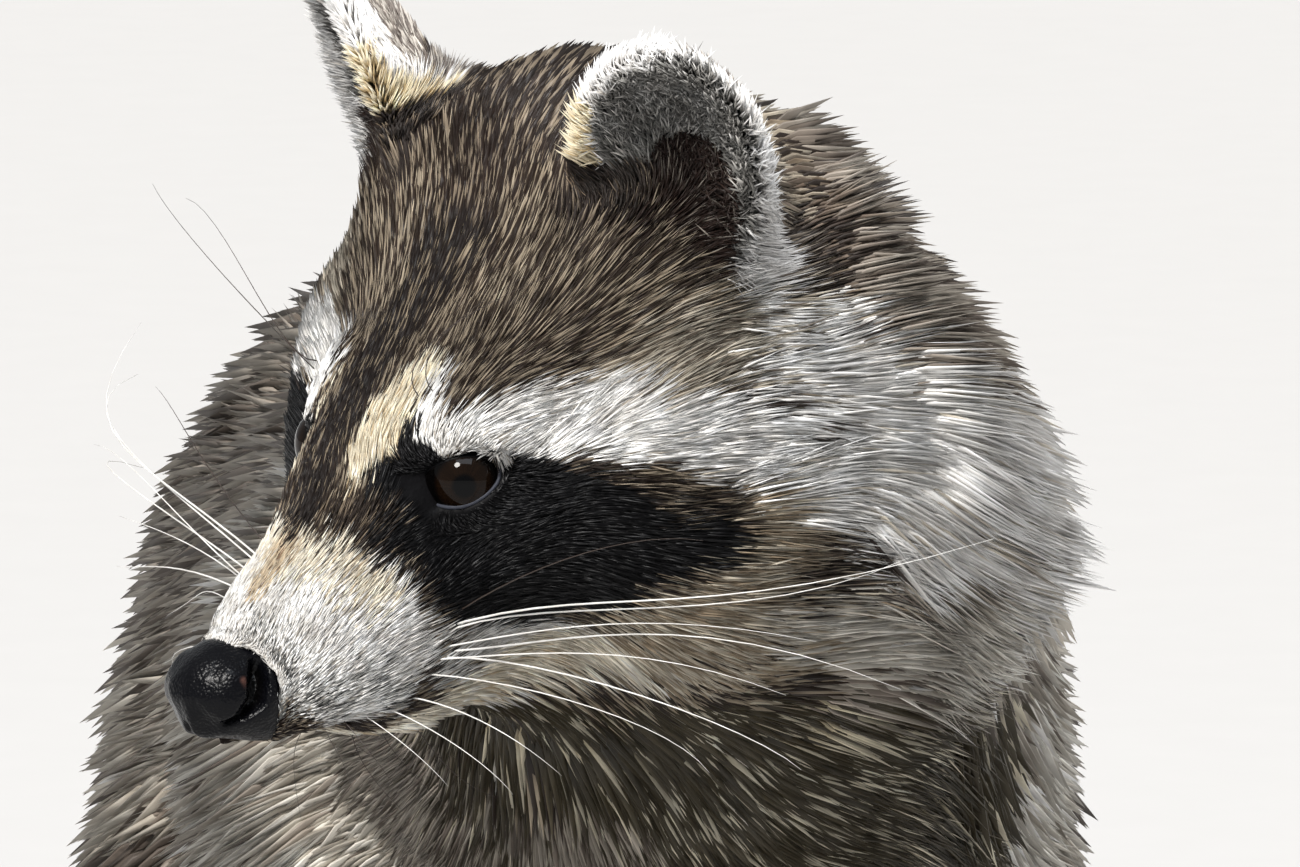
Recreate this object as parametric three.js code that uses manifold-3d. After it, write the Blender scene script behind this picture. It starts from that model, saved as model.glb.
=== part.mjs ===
// A life-size adult raccoon (Procyon lotor) standing on all fours, its head turned to its right.
// Millimetres, +Z up. The trunk faces -Y, and the animal's left is +X. The solids are the coat's outline.
// The flesh is one smooth field of rounded shapes, meshed node by node and parted by thin cuts.
import * as THREE from "three";
import { mergeVertices } from "three/addons/utils/BufferGeometryUtils.js";
import Module from "manifold-3d";

const wasm = await Module();
wasm.setup();

// ---------------------------------------------------------------- driving dimensions
const GAP = 0.4; // width of the thin cuts between neighbouring nodes

const EYES = new THREE.Vector3(-61, -139, 247); // on the midline, level with the eyes' front
const HEAD_YAW = 54; // degrees, towards the animal's right
const HEAD_PITCH = 26.4; // degrees, nose down
const HEAD_ROLL = -5; // degrees, left side down

const EYE = { x: -3.6, y: 16.6, z: -0.8, radius: 7.3 }; // the left eye, in head axes

const BACK_HEIGHT = 271; // top of the coat at the loin
const HIP = 228; // how far the hips lie behind the shoulders
const LEG_SPREAD = 50; // from the midline to a fore foot

// ---------------------------------------------------------------- frames
const V = (x, y, z) => new THREE.Vector3(x, y, z);
const deg = THREE.MathUtils.degToRad;

// Head axes: x forward along the palate, y to the animal's left, z up; origin at EYES.
const headFrame = new THREE.Matrix4()
  .makeRotationZ(-Math.PI / 2 - deg(HEAD_YAW))
  .multiply(new THREE.Matrix4().makeRotationY(deg(HEAD_PITCH)))
  .multiply(new THREE.Matrix4().makeRotationX(deg(HEAD_ROLL)))
  .setPosition(EYES);
const toHead = headFrame.clone().invert();
const atHead = (x, y, z) => V(x, y, z).applyMatrix4(headFrame);

// ---------------------------------------------------------------- fields
// Each form returns the signed distance from p to its surface, negative inside.
const ellipsoid = (centre, radii) => (p) => {
  const x = p.x - centre.x, y = p.y - centre.y, z = p.z - centre.z;
  const k = Math.hypot(x / radii.x, y / radii.y, z / radii.z);
  const slope = Math.hypot(x / radii.x ** 2, y / radii.y ** 2, z / radii.z ** 2);
  return slope < 1e-9 ? -Math.min(radii.x, radii.y, radii.z) : (k * (k - 1)) / slope;
};

const limb = (a, b, ra, rb) => {
  const ab = b.clone().sub(a);
  const length2 = ab.lengthSq();
  return (p) => {
    const t = THREE.MathUtils.clamp(
      ((p.x - a.x) * ab.x + (p.y - a.y) * ab.y + (p.z - a.z) * ab.z) / length2, 0, 1);
    return Math.hypot(p.x - a.x - ab.x * t, p.y - a.y - ab.y * t, p.z - a.z - ab.z * t)
      - (ra + (rb - ra) * t);
  };
};

const blend = (a, b, k) => {
  const h = Math.max(k - Math.abs(a - b), 0) / k;
  return Math.min(a, b) - h * h * k * 0.25;
};
const melt = (k, ...forms) => (p) => forms.map((f) => f(p)).reduce((a, b) => blend(a, b, k));
const carve = (k, form, ...tools) => (p) =>
  -tools.reduce((d, tool) => blend(d, tool(p), k), -form(p));
const inHead = (form) => (p) => form(p.clone().applyMatrix4(toHead));
const both = (make) => [make(1), make(-1)];

// ---------------------------------------------------------------- the head, in its own axes
const skull = melt(16,
  ellipsoid(V(-60, 0, -3), V(44, 49, 45)), // braincase
  ellipsoid(V(-20, 0, -9), V(38, 33, 27)), // forehead
  ...both((s) => ellipsoid(V(-46, s * 38, -25), V(42, 28, 35))), // cheeks
  ellipsoid(V(-64, 0, -36), V(42, 62, 42)), // ruff and throat
);
const muzzle = melt(9,
  limb(V(4, 0, -15), V(40, 0, -18.5), 20, 11.5), // bridge and lips
  limb(V(-14, 0, -30), V(36, 0, -25), 18, 8), // lower jaw
  ...both((s) => ellipsoid(V(12, s * 10, -24), V(24, 12, 14))), // whisker pads
);
const sockets = both((s) => ellipsoid(V(4, s * 27.5, -2), V(11, 8.5, 6.5)));
const headField = inHead(carve(8, melt(12, skull, muzzle), ...sockets));

// ---------------------------------------------------------------- neck, trunk, tail and legs
const neckField = melt(30,
  limb(V(4, 0, 184), atHead(-66, 4, -44), 64, 45),
  limb(V(0, -30, 162), atHead(-60, 0, -55), 52, 40),
);
const trunkField = melt(34,
  ellipsoid(V(0, 6, 175), V(67, 78, 76)), // chest
  ellipsoid(V(0, 90, 180), V(78, 100, BACK_HEIGHT - 192)), // ribs
  ellipsoid(V(0, 160, 177), V(82, 100, BACK_HEIGHT - 177)), // loin and belly
  ellipsoid(V(0, HIP, 180), V(78, 78, 84)), // rump
);

const TAIL = [[0, 58, 192], [4, 130, 148], [16, 202, 106], [38, 268, 78], [66, 320, 64]]
  .map(([x, y, z]) => V(x, HIP + y, z));
const TAIL_RADII = [34, 37, 38, 35, 24];
const chain = (points, radii, k) => melt(k,
  ...points.slice(1).map((b, i) => limb(points[i], b, radii[i], radii[i + 1])));
const tailField = chain(TAIL, TAIL_RADII, 10);

const foreleg = (s) => chain(
  [V(s * 42, 8, 182), V(s * 52, 40, 120), V(s * 51, 16, 40), V(s * LEG_SPREAD, -8, 9)],
  [40, 28, 16.5, 12.5], 12);
const hindleg = (s) => chain(
  [V(s * 42, HIP, 178), V(s * 56, HIP - 50, 116), V(s * 57, HIP + 22, 44), V(s * 57, HIP + 28, 13),
    V(s * 58, HIP - 40, 9.5)],
  [54, 43, 21, 14.5, 13], 14);
const legFields = [...both(foreleg), ...both(hindleg)];

const flesh = melt(26, headField, neckField, trunkField, tailField, ...legFields);

// ---------------------------------------------------------------- meshing a field
// Surface nets: one vertex in each cell that the surface crosses, moved onto the surface.
function netOf(field, low, high, cell) {
  const size = high.clone().sub(low).divideScalar(cell).ceil();
  const nx = size.x + 1, ny = size.y + 1, nz = size.z + 1;
  const at = (i, j, k) => i + nx * (j + ny * k);
  const values = new Float32Array(nx * ny * nz);
  const p = new THREE.Vector3();
  for (let k = 0; k < nz; k++)
    for (let j = 0; j < ny; j++)
      for (let i = 0; i < nx; i++) {
        p.set(low.x + i * cell, low.y + j * cell, low.z + k * cell);
        const rim = i === 0 || j === 0 || k === 0 || i === nx - 1 || j === ny - 1 || k === nz - 1;
        values[at(i, j, k)] = rim ? Math.max(field(p), cell * 0.5) : field(p);
      }
  settle(values, at, nx, ny, nz);
  const corners = [0, 1, 2, 3, 4, 5, 6, 7].map((c) => [c & 1, (c >> 1) & 1, (c >> 2) & 1]);
  const edges = [];
  for (let a = 0; a < 8; a++) for (const bit of [1, 2, 4]) if (!(a & bit)) edges.push([a, a | bit]);
  const vertexOf = new Map();
  const places = [];
  for (let k = 0; k < nz - 1; k++)
    for (let j = 0; j < ny - 1; j++)
      for (let i = 0; i < nx - 1; i++) {
        const v = corners.map(([a, b, c]) => values[at(i + a, j + b, k + c)]);
        const sum = V(0, 0, 0);
        let crossed = 0;
        for (const [a, b] of edges)
          if (v[a] < 0 !== v[b] < 0) {
            const t = v[a] / (v[a] - v[b]);
            const [ax, ay, az] = corners[a], [bx, by, bz] = corners[b];
            sum.add(V(ax + (bx - ax) * t, ay + (by - ay) * t, az + (bz - az) * t));
            crossed++;
          }
        if (!crossed) continue;
        const q = sum.divideScalar(crossed).add(V(i, j, k)).multiplyScalar(cell).add(low);
        vertexOf.set(at(i, j, k), places.length);
        places.push(ontoSurface(field, q, low, high, cell));
      }
  const triangles = [];
  const quad = (a, b, c, d) => {
    const short = places[a].distanceToSquared(places[c]) <= places[b].distanceToSquared(places[d]);
    triangles.push(...(short ? [a, b, c, a, c, d] : [a, b, d, b, c, d]));
  };
  const steps = [[1, 0, 0], [0, 1, 0], [0, 0, 1]];
  for (let k = 0; k < nz - 1; k++)
    for (let j = 0; j < ny - 1; j++)
      for (let i = 0; i < nx - 1; i++)
        steps.forEach(([x, y, z], axis) => {
          const inside = values[at(i, j, k)] < 0;
          if (inside === values[at(i + x, j + y, k + z)] < 0) return;
          const u = steps[(axis + 1) % 3], w = steps[(axis + 2) % 3];
          const cellAt = (a, b) => vertexOf.get(
            at(i - a * u[0] - b * w[0], j - a * u[1] - b * w[1], k - a * u[2] - b * w[2]));
          const ring = [cellAt(0, 0), cellAt(1, 0), cellAt(1, 1), cellAt(0, 1)];
          quad(...(inside ? ring : ring.reverse()));
        });
  return { places, triangles };
}

// Two sheets that meet in one cell would share an edge or a point there. The weaker corner gives way.
function settle(values, at, nx, ny, nz) {
  const offset = (a, b, c) => at(a, b, c) - at(0, 0, 0);
  const x = offset(1, 0, 0), y = offset(0, 1, 0), z = offset(0, 0, 1);
  const pairs = [[x, y], [y, z], [z, x]].map(([u, w]) => [[0, u + w], [u, w]]);
  pairs.push([[0, x + y + z], null], [[x, y + z], null], [[y, x + z], null], [[z, x + y], null]);
  const inside = (n) => values[n] < 0;
  for (let changed = true; changed; ) {
    changed = false;
    for (let n = 0; n < nx * ny * (nz - 1) - nx - 1; n++)
      for (const [one, other] of pairs) {
        const [a, b] = one.map((d) => n + d);
        if (inside(a) !== inside(b)) continue;
        const rest = other
          ? other.map((d) => n + d)
          : [0, x, y, z, x + y, y + z, x + z, x + y + z].map((d) => n + d).filter((m) => m !== a && m !== b);
        if (rest.some((m) => inside(m) === inside(a))) continue;
        const weak = Math.abs(values[a]) < Math.abs(values[b]) ? a : b;
        values[weak] = inside(weak) ? 1e-3 : -1e-3;
        changed = true;
      }
  }
}

function ontoSurface(field, q, low, high, cell) {
  const start = q.clone();
  const e = 0.05;
  for (let n = 0; n < 3; n++) {
    const d = field(q);
    const g = V(
      field(V(q.x + e, q.y, q.z)) - d,
      field(V(q.x, q.y + e, q.z)) - d,
      field(V(q.x, q.y, q.z + e)) - d).divideScalar(e);
    q.addScaledVector(g, -d / Math.max(g.lengthSq(), 0.05));
  }
  const box = new THREE.Box3(low.clone(), high.clone()).expandByScalar(-cell * 0.5);
  const near = q.distanceTo(start) < cell * 0.8 && box.containsPoint(q);
  return near ? q : start;
}

// ---------------------------------------------------------------- solids
const solidOf = (geometry, mirrored = false) => {
  const bare = new THREE.BufferGeometry()
    .setAttribute("position", geometry.getAttribute("position"))
    .setIndex(geometry.index);
  const merged = mergeVertices(bare, 1e-4);
  if (mirrored) merged.index.array.reverse();
  return new wasm.Manifold(new wasm.Mesh({
    numProp: 3,
    vertProperties: new Float32Array(merged.attributes.position.array),
    triVerts: new Uint32Array(merged.index.array),
  }));
};
const geometryOf = (solid) => {
  const mesh = solid.getMesh();
  return new THREE.BufferGeometry()
    .setAttribute("position", new THREE.BufferAttribute(mesh.vertProperties, 3))
    .setIndex(new THREE.BufferAttribute(mesh.triVerts, 1));
};
const fleshIn = (field, low, high, cell) => {
  const { places, triangles } = netOf(field, low, high, cell);
  return solidOf(new THREE.BufferGeometry().setFromPoints(places).setIndex(triangles));
};
const boxed = (low, high, matrix = new THREE.Matrix4()) => {
  const size = high.clone().sub(low);
  const middle = low.clone().add(high).multiplyScalar(0.5);
  return solidOf(new THREE.BoxGeometry(size.x, size.y, size.z)
    .translate(middle.x, middle.y, middle.z).applyMatrix4(matrix));
};
const grown = (low, high, by) => [low.clone().subScalar(by), high.clone().addScalar(by)];
const largest = (solid) => solid.decompose().sort((a, b) => b.volume() - a.volume())[0];

// keep() leaves the side of a plane that its normal points to, moved back by some distance.
const keep = (solid, point, normal, back = 0) => {
  const n = normal.clone().normalize();
  return solid.trimByPlane([n.x, n.y, n.z], n.dot(point) - back);
};
// A region is a box cut by planes; called with a distance, it gives itself grown by that much.
const region = (low, high, ...planes) => (by = 0) => planes.reduce(
  (solid, [point, normal]) => keep(solid, point, normal, by), boxed(...grown(low, high, by)));

// ---------------------------------------------------------------- where the body is parted
const headCut = [atHead(-75, 0, 30), V(0.84, 0, 0.55).transformDirection(headFrame)];
const mouthCut = [atHead(48, 0, -29.5), V(0.11, 0, -1).transformDirection(headFrame)];
const jawCut = [atHead(-3, 0, -36), V(1, 0, 0.25).transformDirection(headFrame)];
const neckCut = [V(0, -44, 206), V(-0.15, -0.85, 0.5)];
const tailCut = [V(0, HIP + 80, 184), V(0.03, 0.86, -0.5)];
const underTail = [V(0, HIP + 80, 132), V(0, 0.57, 0.82)];
const tailHalf = [TAIL[2], TAIL[3].clone().sub(TAIL[1])];
const back = ([point, normal]) => [point, normal.clone().negate()];

const mirrored = (low, high, s) => s > 0
  ? [low, high]
  : [V(-high.x, low.y, low.z), V(-low.x, high.y, high.z)];
const sided = (s) => (s > 0 ? "left" : "right");

const LIMBS = [
  { name: "fore", low: V(18, -70, -6), high: V(112, 92, 132), wrist: 38, cell: 17,
    toes: { root: V(LEG_SPREAD, -8, 9), spread: 15, pitch: 5.2, reach: [20, 25, 27, 25, 19] } },
  { name: "hind", low: V(28, HIP - 92, -6), high: V(132, HIP + 74, 138), wrist: 33, cell: 20,
    toes: { root: V(58, HIP - 42, 9), spread: 11, pitch: 5.2, reach: [18, 24, 26, 24, 18] } },
];

// ---------------------------------------------------------------- ears, eyes, nose
const EAR = { base: V(-43, 35, 25), up: V(-0.182, 0.336, 0.924), width: 19, height: 23,
  lift: 13.5, depth: 15, hollow: 10, rim: 4.5, across: V(-0.353, 0.761, -0.543) };

// A bowl with a rounded rim, thicker all over by extra.
function earBowl(side, extra) {
  const { width, height, depth, hollow, rim } = EAR;
  const arc = (n, radius, deep) => Array.from({ length: n }, (_, i) => {
    const a = (i / n) * Math.PI / 2;
    return new THREE.Vector2(radius * Math.sin(a), -deep * Math.cos(a));
  });
  const inner = width - rim;
  const profile = [
    ...arc(4, width + extra, depth + extra),
    new THREE.Vector2(width + extra, 0),
    new THREE.Vector2(width - rim / 2, rim / 2 + extra),
    new THREE.Vector2(inner - extra, 0),
    ...arc(3, inner - extra, hollow - extra).reverse(),
  ];
  const front = EAR.across.clone().cross(EAR.up);
  const turn = new THREE.Matrix4().makeBasis(EAR.across, front, EAR.up.clone().negate());
  const centre = EAR.base.clone().addScaledVector(EAR.up, EAR.lift);
  const bowl = new THREE.LatheGeometry(profile, 14)
    .scale(1, 1, height / width)
    .applyMatrix4(turn)
    .translate(centre.x, centre.y, centre.z)
    .scale(1, side, 1)
    .applyMatrix4(headFrame);
  return solidOf(bowl, side < 0);
}

const ball = (centre, radius, columns = 11, rows = 7) =>
  solidOf(new THREE.SphereGeometry(radius, columns, rows).translate(centre.x, centre.y, centre.z));
const eyeAt = (s) => atHead(EYE.x, s * EYE.y, EYE.z);

const noseField = inHead(carve(1.5, melt(3,
  ellipsoid(V(46.5, 0, -17.5), V(10, 9.5, 8.5)),
  ...both((s) => ellipsoid(V(43, s * 5.5, -20), V(8, 5.5, 7.5)))),
...both((s) => ellipsoid(V(55, s * 4.2, -18.5), V(4, 2.4, 2.4)))));

const near = (point, x, y = x, z = x) => [point.clone().sub(V(x, y, z)), point.clone().add(V(x, y, z))];

// ---------------------------------------------------------------- the nodes
const coat = (name, color) => new THREE.MeshStandardMaterial({ name, color, roughness: 0.9 });
const materials = {
  face: coat("face coat", 0xb9b0a2),
  body: coat("body coat", 0x6d6255),
  tail: coat("tail coat", 0x5a5046),
  ear: coat("ear coat", 0xd8d3ca),
  paw: coat("paw coat", 0x4a423b),
  eye: new THREE.MeshStandardMaterial({ name: "eye", color: 0x140d09, roughness: 0.05 }),
  nose: new THREE.MeshStandardMaterial({ name: "nose leather", color: 0x17171a, roughness: 0.35 }),
  claw: new THREE.MeshStandardMaterial({ name: "claw horn", color: 0x2b2521, roughness: 0.4 }),
};
const raccoon = new THREE.Group();
const place = (name, solid, material) => {
  const mesh = new THREE.Mesh(geometryOf(largest(solid)), material);
  mesh.name = name;
  raccoon.add(mesh);
};

const ears = both((s) => earBowl(s, 0));
const earPockets = both((s) => earBowl(s, GAP));
const nose = fleshIn(noseField, ...near(atHead(46, 0, -18), 16), 3.5);
const nosePocket = fleshIn((p) => noseField(p) - GAP * 2, ...near(atHead(46, 0, -18), 17), 3.5);
const eyes = both((s) => ball(eyeAt(s), EYE.radius));
const eyePockets = both((s) => ball(eyeAt(s), EYE.radius + GAP));

let head = keep(fleshIn(flesh, ...near(atHead(-20, 0, -5), 118, 118, 105), 8.6), ...headCut);
for (const pocket of [...earPockets, ...eyePockets, nosePocket]) head = head.subtract(pocket);
const jawRegion = region(...near(atHead(20, 0, -60), 120), mouthCut, jawCut);
place("head", head.subtract(jawRegion(GAP)), materials.face);
place("lower_jaw", head.intersect(jawRegion()), materials.face);
ears.forEach((ear, i) => place("ear_" + sided(i ? -1 : 1), ear, materials.ear));
eyes.forEach((eye, i) => place("eye_" + sided(i ? -1 : 1), eye, materials.eye));
place("nose", nose, materials.nose);

const neck = keep(keep(fleshIn(flesh, V(-130, -230, 60), V(110, 20, 370), 19),
  ...back(headCut)), ...neckCut);
place("neck", keep(keep(neck, ...back(headCut), -GAP), ...neckCut, -GAP), materials.body);

const limbs = LIMBS.flatMap((limbPart) => both((s) => {
  const [low, high] = mirrored(limbPart.low, limbPart.high, s);
  return { ...limbPart, side: sided(s), low, high, region: region(low, high) };
}));
const withoutLimbs = (solid) => limbs.reduce((rest, l) => rest.subtract(l.region(GAP)), solid);

const tailRegion = region(V(-70, HIP + 40, -6), V(140, HIP + 400, 270), tailCut, underTail);
let trunk = fleshIn(flesh, V(-118, -130, -10), V(118, HIP + 110, 300), 24);
trunk = keep(keep(trunk, ...back(neckCut)), ...back(headCut)).subtract(tailRegion(GAP));
place("trunk", withoutLimbs(trunk), materials.body);

const tail = withoutLimbs(
  fleshIn(flesh, V(-60, HIP + 40, 0), V(130, HIP + 380, 250), 20).intersect(tailRegion()));
place("tail_root", keep(tail, ...back(tailHalf), -GAP / 2), materials.tail);
place("tail_end", keep(tail, ...tailHalf, -GAP / 2), materials.tail);

// ---------------------------------------------------------------- toes and claws
const TOE_RADIUS = 5;
const CLAW = { length: 9, radius: 1.9, arch: 2.2, tipHeight: 1.2 };
const FLOOR = [V(0, 0, 0), V(0, 0, 1)];

// Each toe runs from the paw's root to its tip, and its claw goes on from there.
const toesOf = ({ root, spread, pitch, reach }, s) => reach.map((length, i) => {
  const step = i - (reach.length - 1) / 2;
  const turn = deg(step * spread);
  const forward = V(s * Math.sin(turn), -Math.cos(turn), 0);
  const start = V(s * (root.x + step * pitch), root.y, root.z);
  const end = start.clone().addScaledVector(forward, length).setZ(TOE_RADIUS - 0.6);
  return { start, end, forward };
});
const spanning = (geometry, a, b) => {
  const along = b.clone().sub(a).normalize();
  const turn = new THREE.Quaternion().setFromUnitVectors(V(0, 1, 0), along);
  const centre = a.clone().add(b).multiplyScalar(0.5);
  return geometry.applyQuaternion(turn).translate(centre.x, centre.y, centre.z);
};
const toeSolid = ({ start, end }) => solidOf(spanning(
  new THREE.CapsuleGeometry(TOE_RADIUS, start.distanceTo(end), 1, 6), start, end));
const clawSolid = ({ end, forward }) => {
  const root = end.clone().addScaledVector(forward, TOE_RADIUS + GAP);
  const tip = root.clone().addScaledVector(forward, CLAW.length).setZ(CLAW.tipHeight);
  const length = root.distanceTo(tip);
  const horn = spanning(new THREE.ConeGeometry(CLAW.radius, length, 6, 2), root, tip);
  const places = horn.getAttribute("position");
  for (let i = 0; i < places.count; i++) {
    const along = V(0, 0, 0).fromBufferAttribute(places, i).distanceTo(root) / length;
    if (along > 0.4) places.setZ(i, places.getZ(i) + CLAW.arch * Math.sin(Math.PI * Math.min(along, 1)));
  }
  return solidOf(horn);
};

for (const { name, side, low, high, region: own, wrist, cell, toes } of limbs) {
  const wristCut = [V(0, 0, wrist), V(0, 0, 1)];
  const leg = fleshIn(flesh, ...grown(low, high, 6), cell).intersect(own());
  place(`${name}leg_${side}`, keep(leg, ...wristCut), materials.body);

  const palm = fleshIn(flesh, ...grown(low, high.clone().setZ(wrist + 8), 6), 12).intersect(own());
  const digits = toesOf(toes, side === "left" ? 1 : -1);
  const paw = digits.reduce((whole, toe) => whole.add(toeSolid(toe)), keep(palm, ...back(wristCut), -GAP));
  place(`${name}paw_${side}`, keep(paw, ...FLOOR), materials.paw);
  digits.forEach((toe, i) => place(`claw_${name}_${side}_${i + 1}`, clawSolid(toe), materials.claw));
}

// The frame's origin lies on the floor, under the middle of the whole animal.
const whole = new THREE.Box3().setFromObject(raccoon);
raccoon.position.set(-(whole.min.x + whole.max.x) / 2, -(whole.min.y + whole.max.y) / 2, -whole.min.z);

export default raccoon;
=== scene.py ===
"""A life-size raccoon: skin, coat, eyes, nose, claws and whiskers around its solids."""

import collections
import math

import bpy
import numpy as np
from mathutils import Matrix, Vector
from mathutils.bvhtree import BVHTree
from mathutils.kdtree import KDTree


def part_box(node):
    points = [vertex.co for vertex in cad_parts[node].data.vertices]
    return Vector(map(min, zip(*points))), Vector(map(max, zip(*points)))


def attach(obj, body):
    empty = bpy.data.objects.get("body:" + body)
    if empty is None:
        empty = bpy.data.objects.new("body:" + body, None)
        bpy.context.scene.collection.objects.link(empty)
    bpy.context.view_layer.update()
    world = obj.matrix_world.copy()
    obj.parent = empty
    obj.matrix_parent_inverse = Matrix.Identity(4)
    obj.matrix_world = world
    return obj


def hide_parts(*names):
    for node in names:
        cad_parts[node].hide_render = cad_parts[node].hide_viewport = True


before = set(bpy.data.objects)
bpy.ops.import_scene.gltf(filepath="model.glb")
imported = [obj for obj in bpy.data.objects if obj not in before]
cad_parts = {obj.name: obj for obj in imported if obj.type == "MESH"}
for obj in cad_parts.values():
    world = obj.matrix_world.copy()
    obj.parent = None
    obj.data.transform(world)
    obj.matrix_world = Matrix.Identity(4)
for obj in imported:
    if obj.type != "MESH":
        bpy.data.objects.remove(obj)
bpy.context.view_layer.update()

bl_info = {
    "name": "Raccoon",
    "version": (1, 0, 0),
    "blender": (4, 5, 0),
    "location": "View3D > Sidebar > Raccoon",
    "description": "Dresses the raccoon's solids with skin, coat, eyes, nose, claws and whiskers",
    "category": "Add Mesh",
}

MM = 0.001
FLESH = [
    "head", "lower_jaw", "neck", "trunk", "tail_root", "tail_end",
    *(f"{part}_{side}" for part in ("ear", "foreleg", "forepaw", "hindleg", "hindpaw")
      for side in ("left", "right")),
]
CLAWS = [n for n in sorted(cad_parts) if n.startswith("claw_")]
SIDES = (1, -1)  # the animal's left, then its right
made = {}  # what one operator leaves for the next


# ---------------------------------------------------------------- arrays
def unit(ways):
    return ways / np.maximum(np.linalg.norm(ways, axis=-1, keepdims=True), 1e-12)


def along_skin(ways, normals):
    """What is left of ways without their part along the normals."""
    return ways - normals * np.einsum("ij,ij->i", ways, normals)[:, None]


def ease(x, low, high):
    """0 below low, 1 above high, smooth between."""
    t = np.clip((x - low) / (high - low), 0, 1)
    return t * t * (3 - 2 * t)


def waves(places, size, seed, count=7):
    """A smooth random vector field of sines about size metres across, with parts between about -1 and 1."""
    rng = np.random.default_rng(seed)
    total = np.zeros((len(places), 3))
    for _ in range(count):
        way = rng.normal(size=3)
        phase = places @ (way * (2 * math.pi / size / np.linalg.norm(way) * rng.uniform(0.6, 1.6)))
        total += np.sin(phase[:, None] + rng.uniform(0, 2 * math.pi, 3)) * rng.normal(size=3)
    return total / math.sqrt(count)


def compass(azimuth, elevation):
    """The way to a place around the animal, from straight ahead of it."""
    level = math.cos(elevation)
    return Vector((math.sin(azimuth) * level, -math.cos(azimuth) * level, math.sin(elevation)))


def tree_of(places):
    """A search tree of places, by their row."""
    tree = KDTree(len(places))
    for k, spot in enumerate(places):
        tree.insert(spot, k)
    tree.balance()
    return tree


def middle_of(node):
    """The middle of a node's box."""
    low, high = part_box(node)
    return np.array((low + high) / 2)


class HeadFrame:
    """The head's axes: f forward, l to the animal's left, u up, from midway between the eyes, in mm."""

    PALATE = math.atan2(17.2, 49.6)  # the angle between f and the line from the eyes' middle to the nose

    def __init__(self):
        left, right, nose = (middle_of(n) for n in ("eye_left", "eye_right", "nose"))
        self.origin = (left + right) / 2
        side = unit(left - right)
        ahead = nose - self.origin
        ahead = unit(ahead - side * (ahead @ side))
        up = np.cross(ahead, side)
        ahead = ahead * math.cos(self.PALATE) + up * math.sin(self.PALATE)
        self.axes = np.array([ahead, side, np.cross(ahead, side)])

    def inside(self, places):
        """Metres in the row frame to mm in the head's axes."""
        return (np.asarray(places) - self.origin) @ self.axes.T / MM

    def outside(self, places):
        return self.origin + np.asarray(places, float) @ self.axes * MM

    def turned(self, ways):
        return np.asarray(ways, float) @ self.axes


HEAD = HeadFrame()


def mirrored(place, side):
    """A place in the head's axes, on the left for side 1 and on the right for side -1."""
    return np.array([place[0], place[1] * side, place[2]], float)


def folded(mm):
    """Places in the head's axes with their distance from the midline in place of l."""
    return np.stack([mm[:, 0], np.abs(mm[:, 1]), mm[:, 2]], 1)


# ---------------------------------------------------------------- meshes
def only(*objects):
    """Selects these objects and nothing else."""
    if bpy.context.mode != "OBJECT":
        bpy.ops.object.mode_set(mode="OBJECT")
    bpy.ops.object.select_all(action="DESELECT")
    for obj in objects:
        obj.select_set(True)
    bpy.context.view_layer.objects.active = objects[0]


def linked(name, data):
    """A new object of this data, in the scene."""
    obj = bpy.data.objects.new(name, data)
    bpy.context.collection.objects.link(obj)
    return obj


def places_of(obj):
    numbers = np.empty(len(obj.data.vertices) * 3, np.float32)
    obj.data.vertices.foreach_get("co", numbers)
    return numbers.reshape(-1, 3).astype(float)


def place(obj, places):
    obj.data.vertices.foreach_set("co", np.asarray(places, np.float32).ravel())
    obj.data.update()


def normals_of(obj):
    numbers = np.empty(len(obj.data.vertices) * 3, np.float32)
    obj.data.vertex_normals.foreach_get("vector", numbers)
    return numbers.reshape(-1, 3).astype(float)


def triangles_of(obj):
    obj.data.calc_loop_triangles()
    corners = np.empty(len(obj.data.loop_triangles) * 3, np.int32)
    obj.data.loop_triangles.foreach_get("vertices", corners)
    return corners.reshape(-1, 3)


def apply(obj, kind, **settings):
    """Adds a modifier with these settings and applies it."""
    only(obj)
    modifier = obj.modifiers.new(kind.title(), kind)
    for name, value in settings.items():
        setattr(modifier, name, value)
    bpy.ops.object.modifier_apply(modifier=modifier.name)


def edit(obj, *steps):
    """Runs steps in edit mode with everything selected."""
    only(obj)
    bpy.ops.object.mode_set(mode="EDIT")
    bpy.ops.mesh.select_all(action="SELECT")
    for step in steps:
        step()
    bpy.ops.object.mode_set(mode="OBJECT")


def merged_copies(name, nodes):
    """One object of copies of CAD nodes, their doubles merged."""
    copies = []
    for node in nodes:
        twin = linked(f"{name}_copy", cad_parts[node].data.copy())
        twin.data.materials.clear()
        edit(twin, lambda: bpy.ops.mesh.remove_doubles(threshold=1e-6))
        copies.append(twin)
    only(*copies)
    if len(copies) > 1:
        bpy.ops.object.join()
    whole = bpy.context.view_layer.objects.active
    whole.name = whole.data.name = name
    return whole


def mesh_of(name, places, triangles):
    """A smooth-shaded object of triangles, from arrays."""
    mesh = bpy.data.meshes.new(name)
    mesh.vertices.add(len(places))
    mesh.vertices.foreach_set("co", np.asarray(places, np.float32).ravel())
    mesh.loops.add(len(triangles) * 3)
    mesh.loops.foreach_set("vertex_index", np.asarray(triangles, np.int32).ravel())
    mesh.polygons.add(len(triangles))
    mesh.polygons.foreach_set("loop_start", np.arange(0, len(triangles) * 3, 3, dtype=np.int32))
    mesh.polygons.foreach_set("use_smooth", np.ones(len(triangles), bool))
    mesh.update(calc_edges=True)
    return linked(name, mesh)


def paint(obj, colours, name="coat"):
    """Keeps a colour at each vertex."""
    rgba = np.ones((len(colours), 4), np.float32)
    rgba[:, :3] = colours
    layer = obj.data.color_attributes.new(name, "FLOAT_COLOR", "POINT")
    layer.data.foreach_set("color", rgba.ravel())


def finished(piece, material, replaces=()):
    """Gives a piece its material and its place in the model."""
    piece.data.materials.clear()
    piece.data.materials.append(material)
    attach(piece, "root")
    if replaces:
        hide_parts(*replaces)


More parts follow.
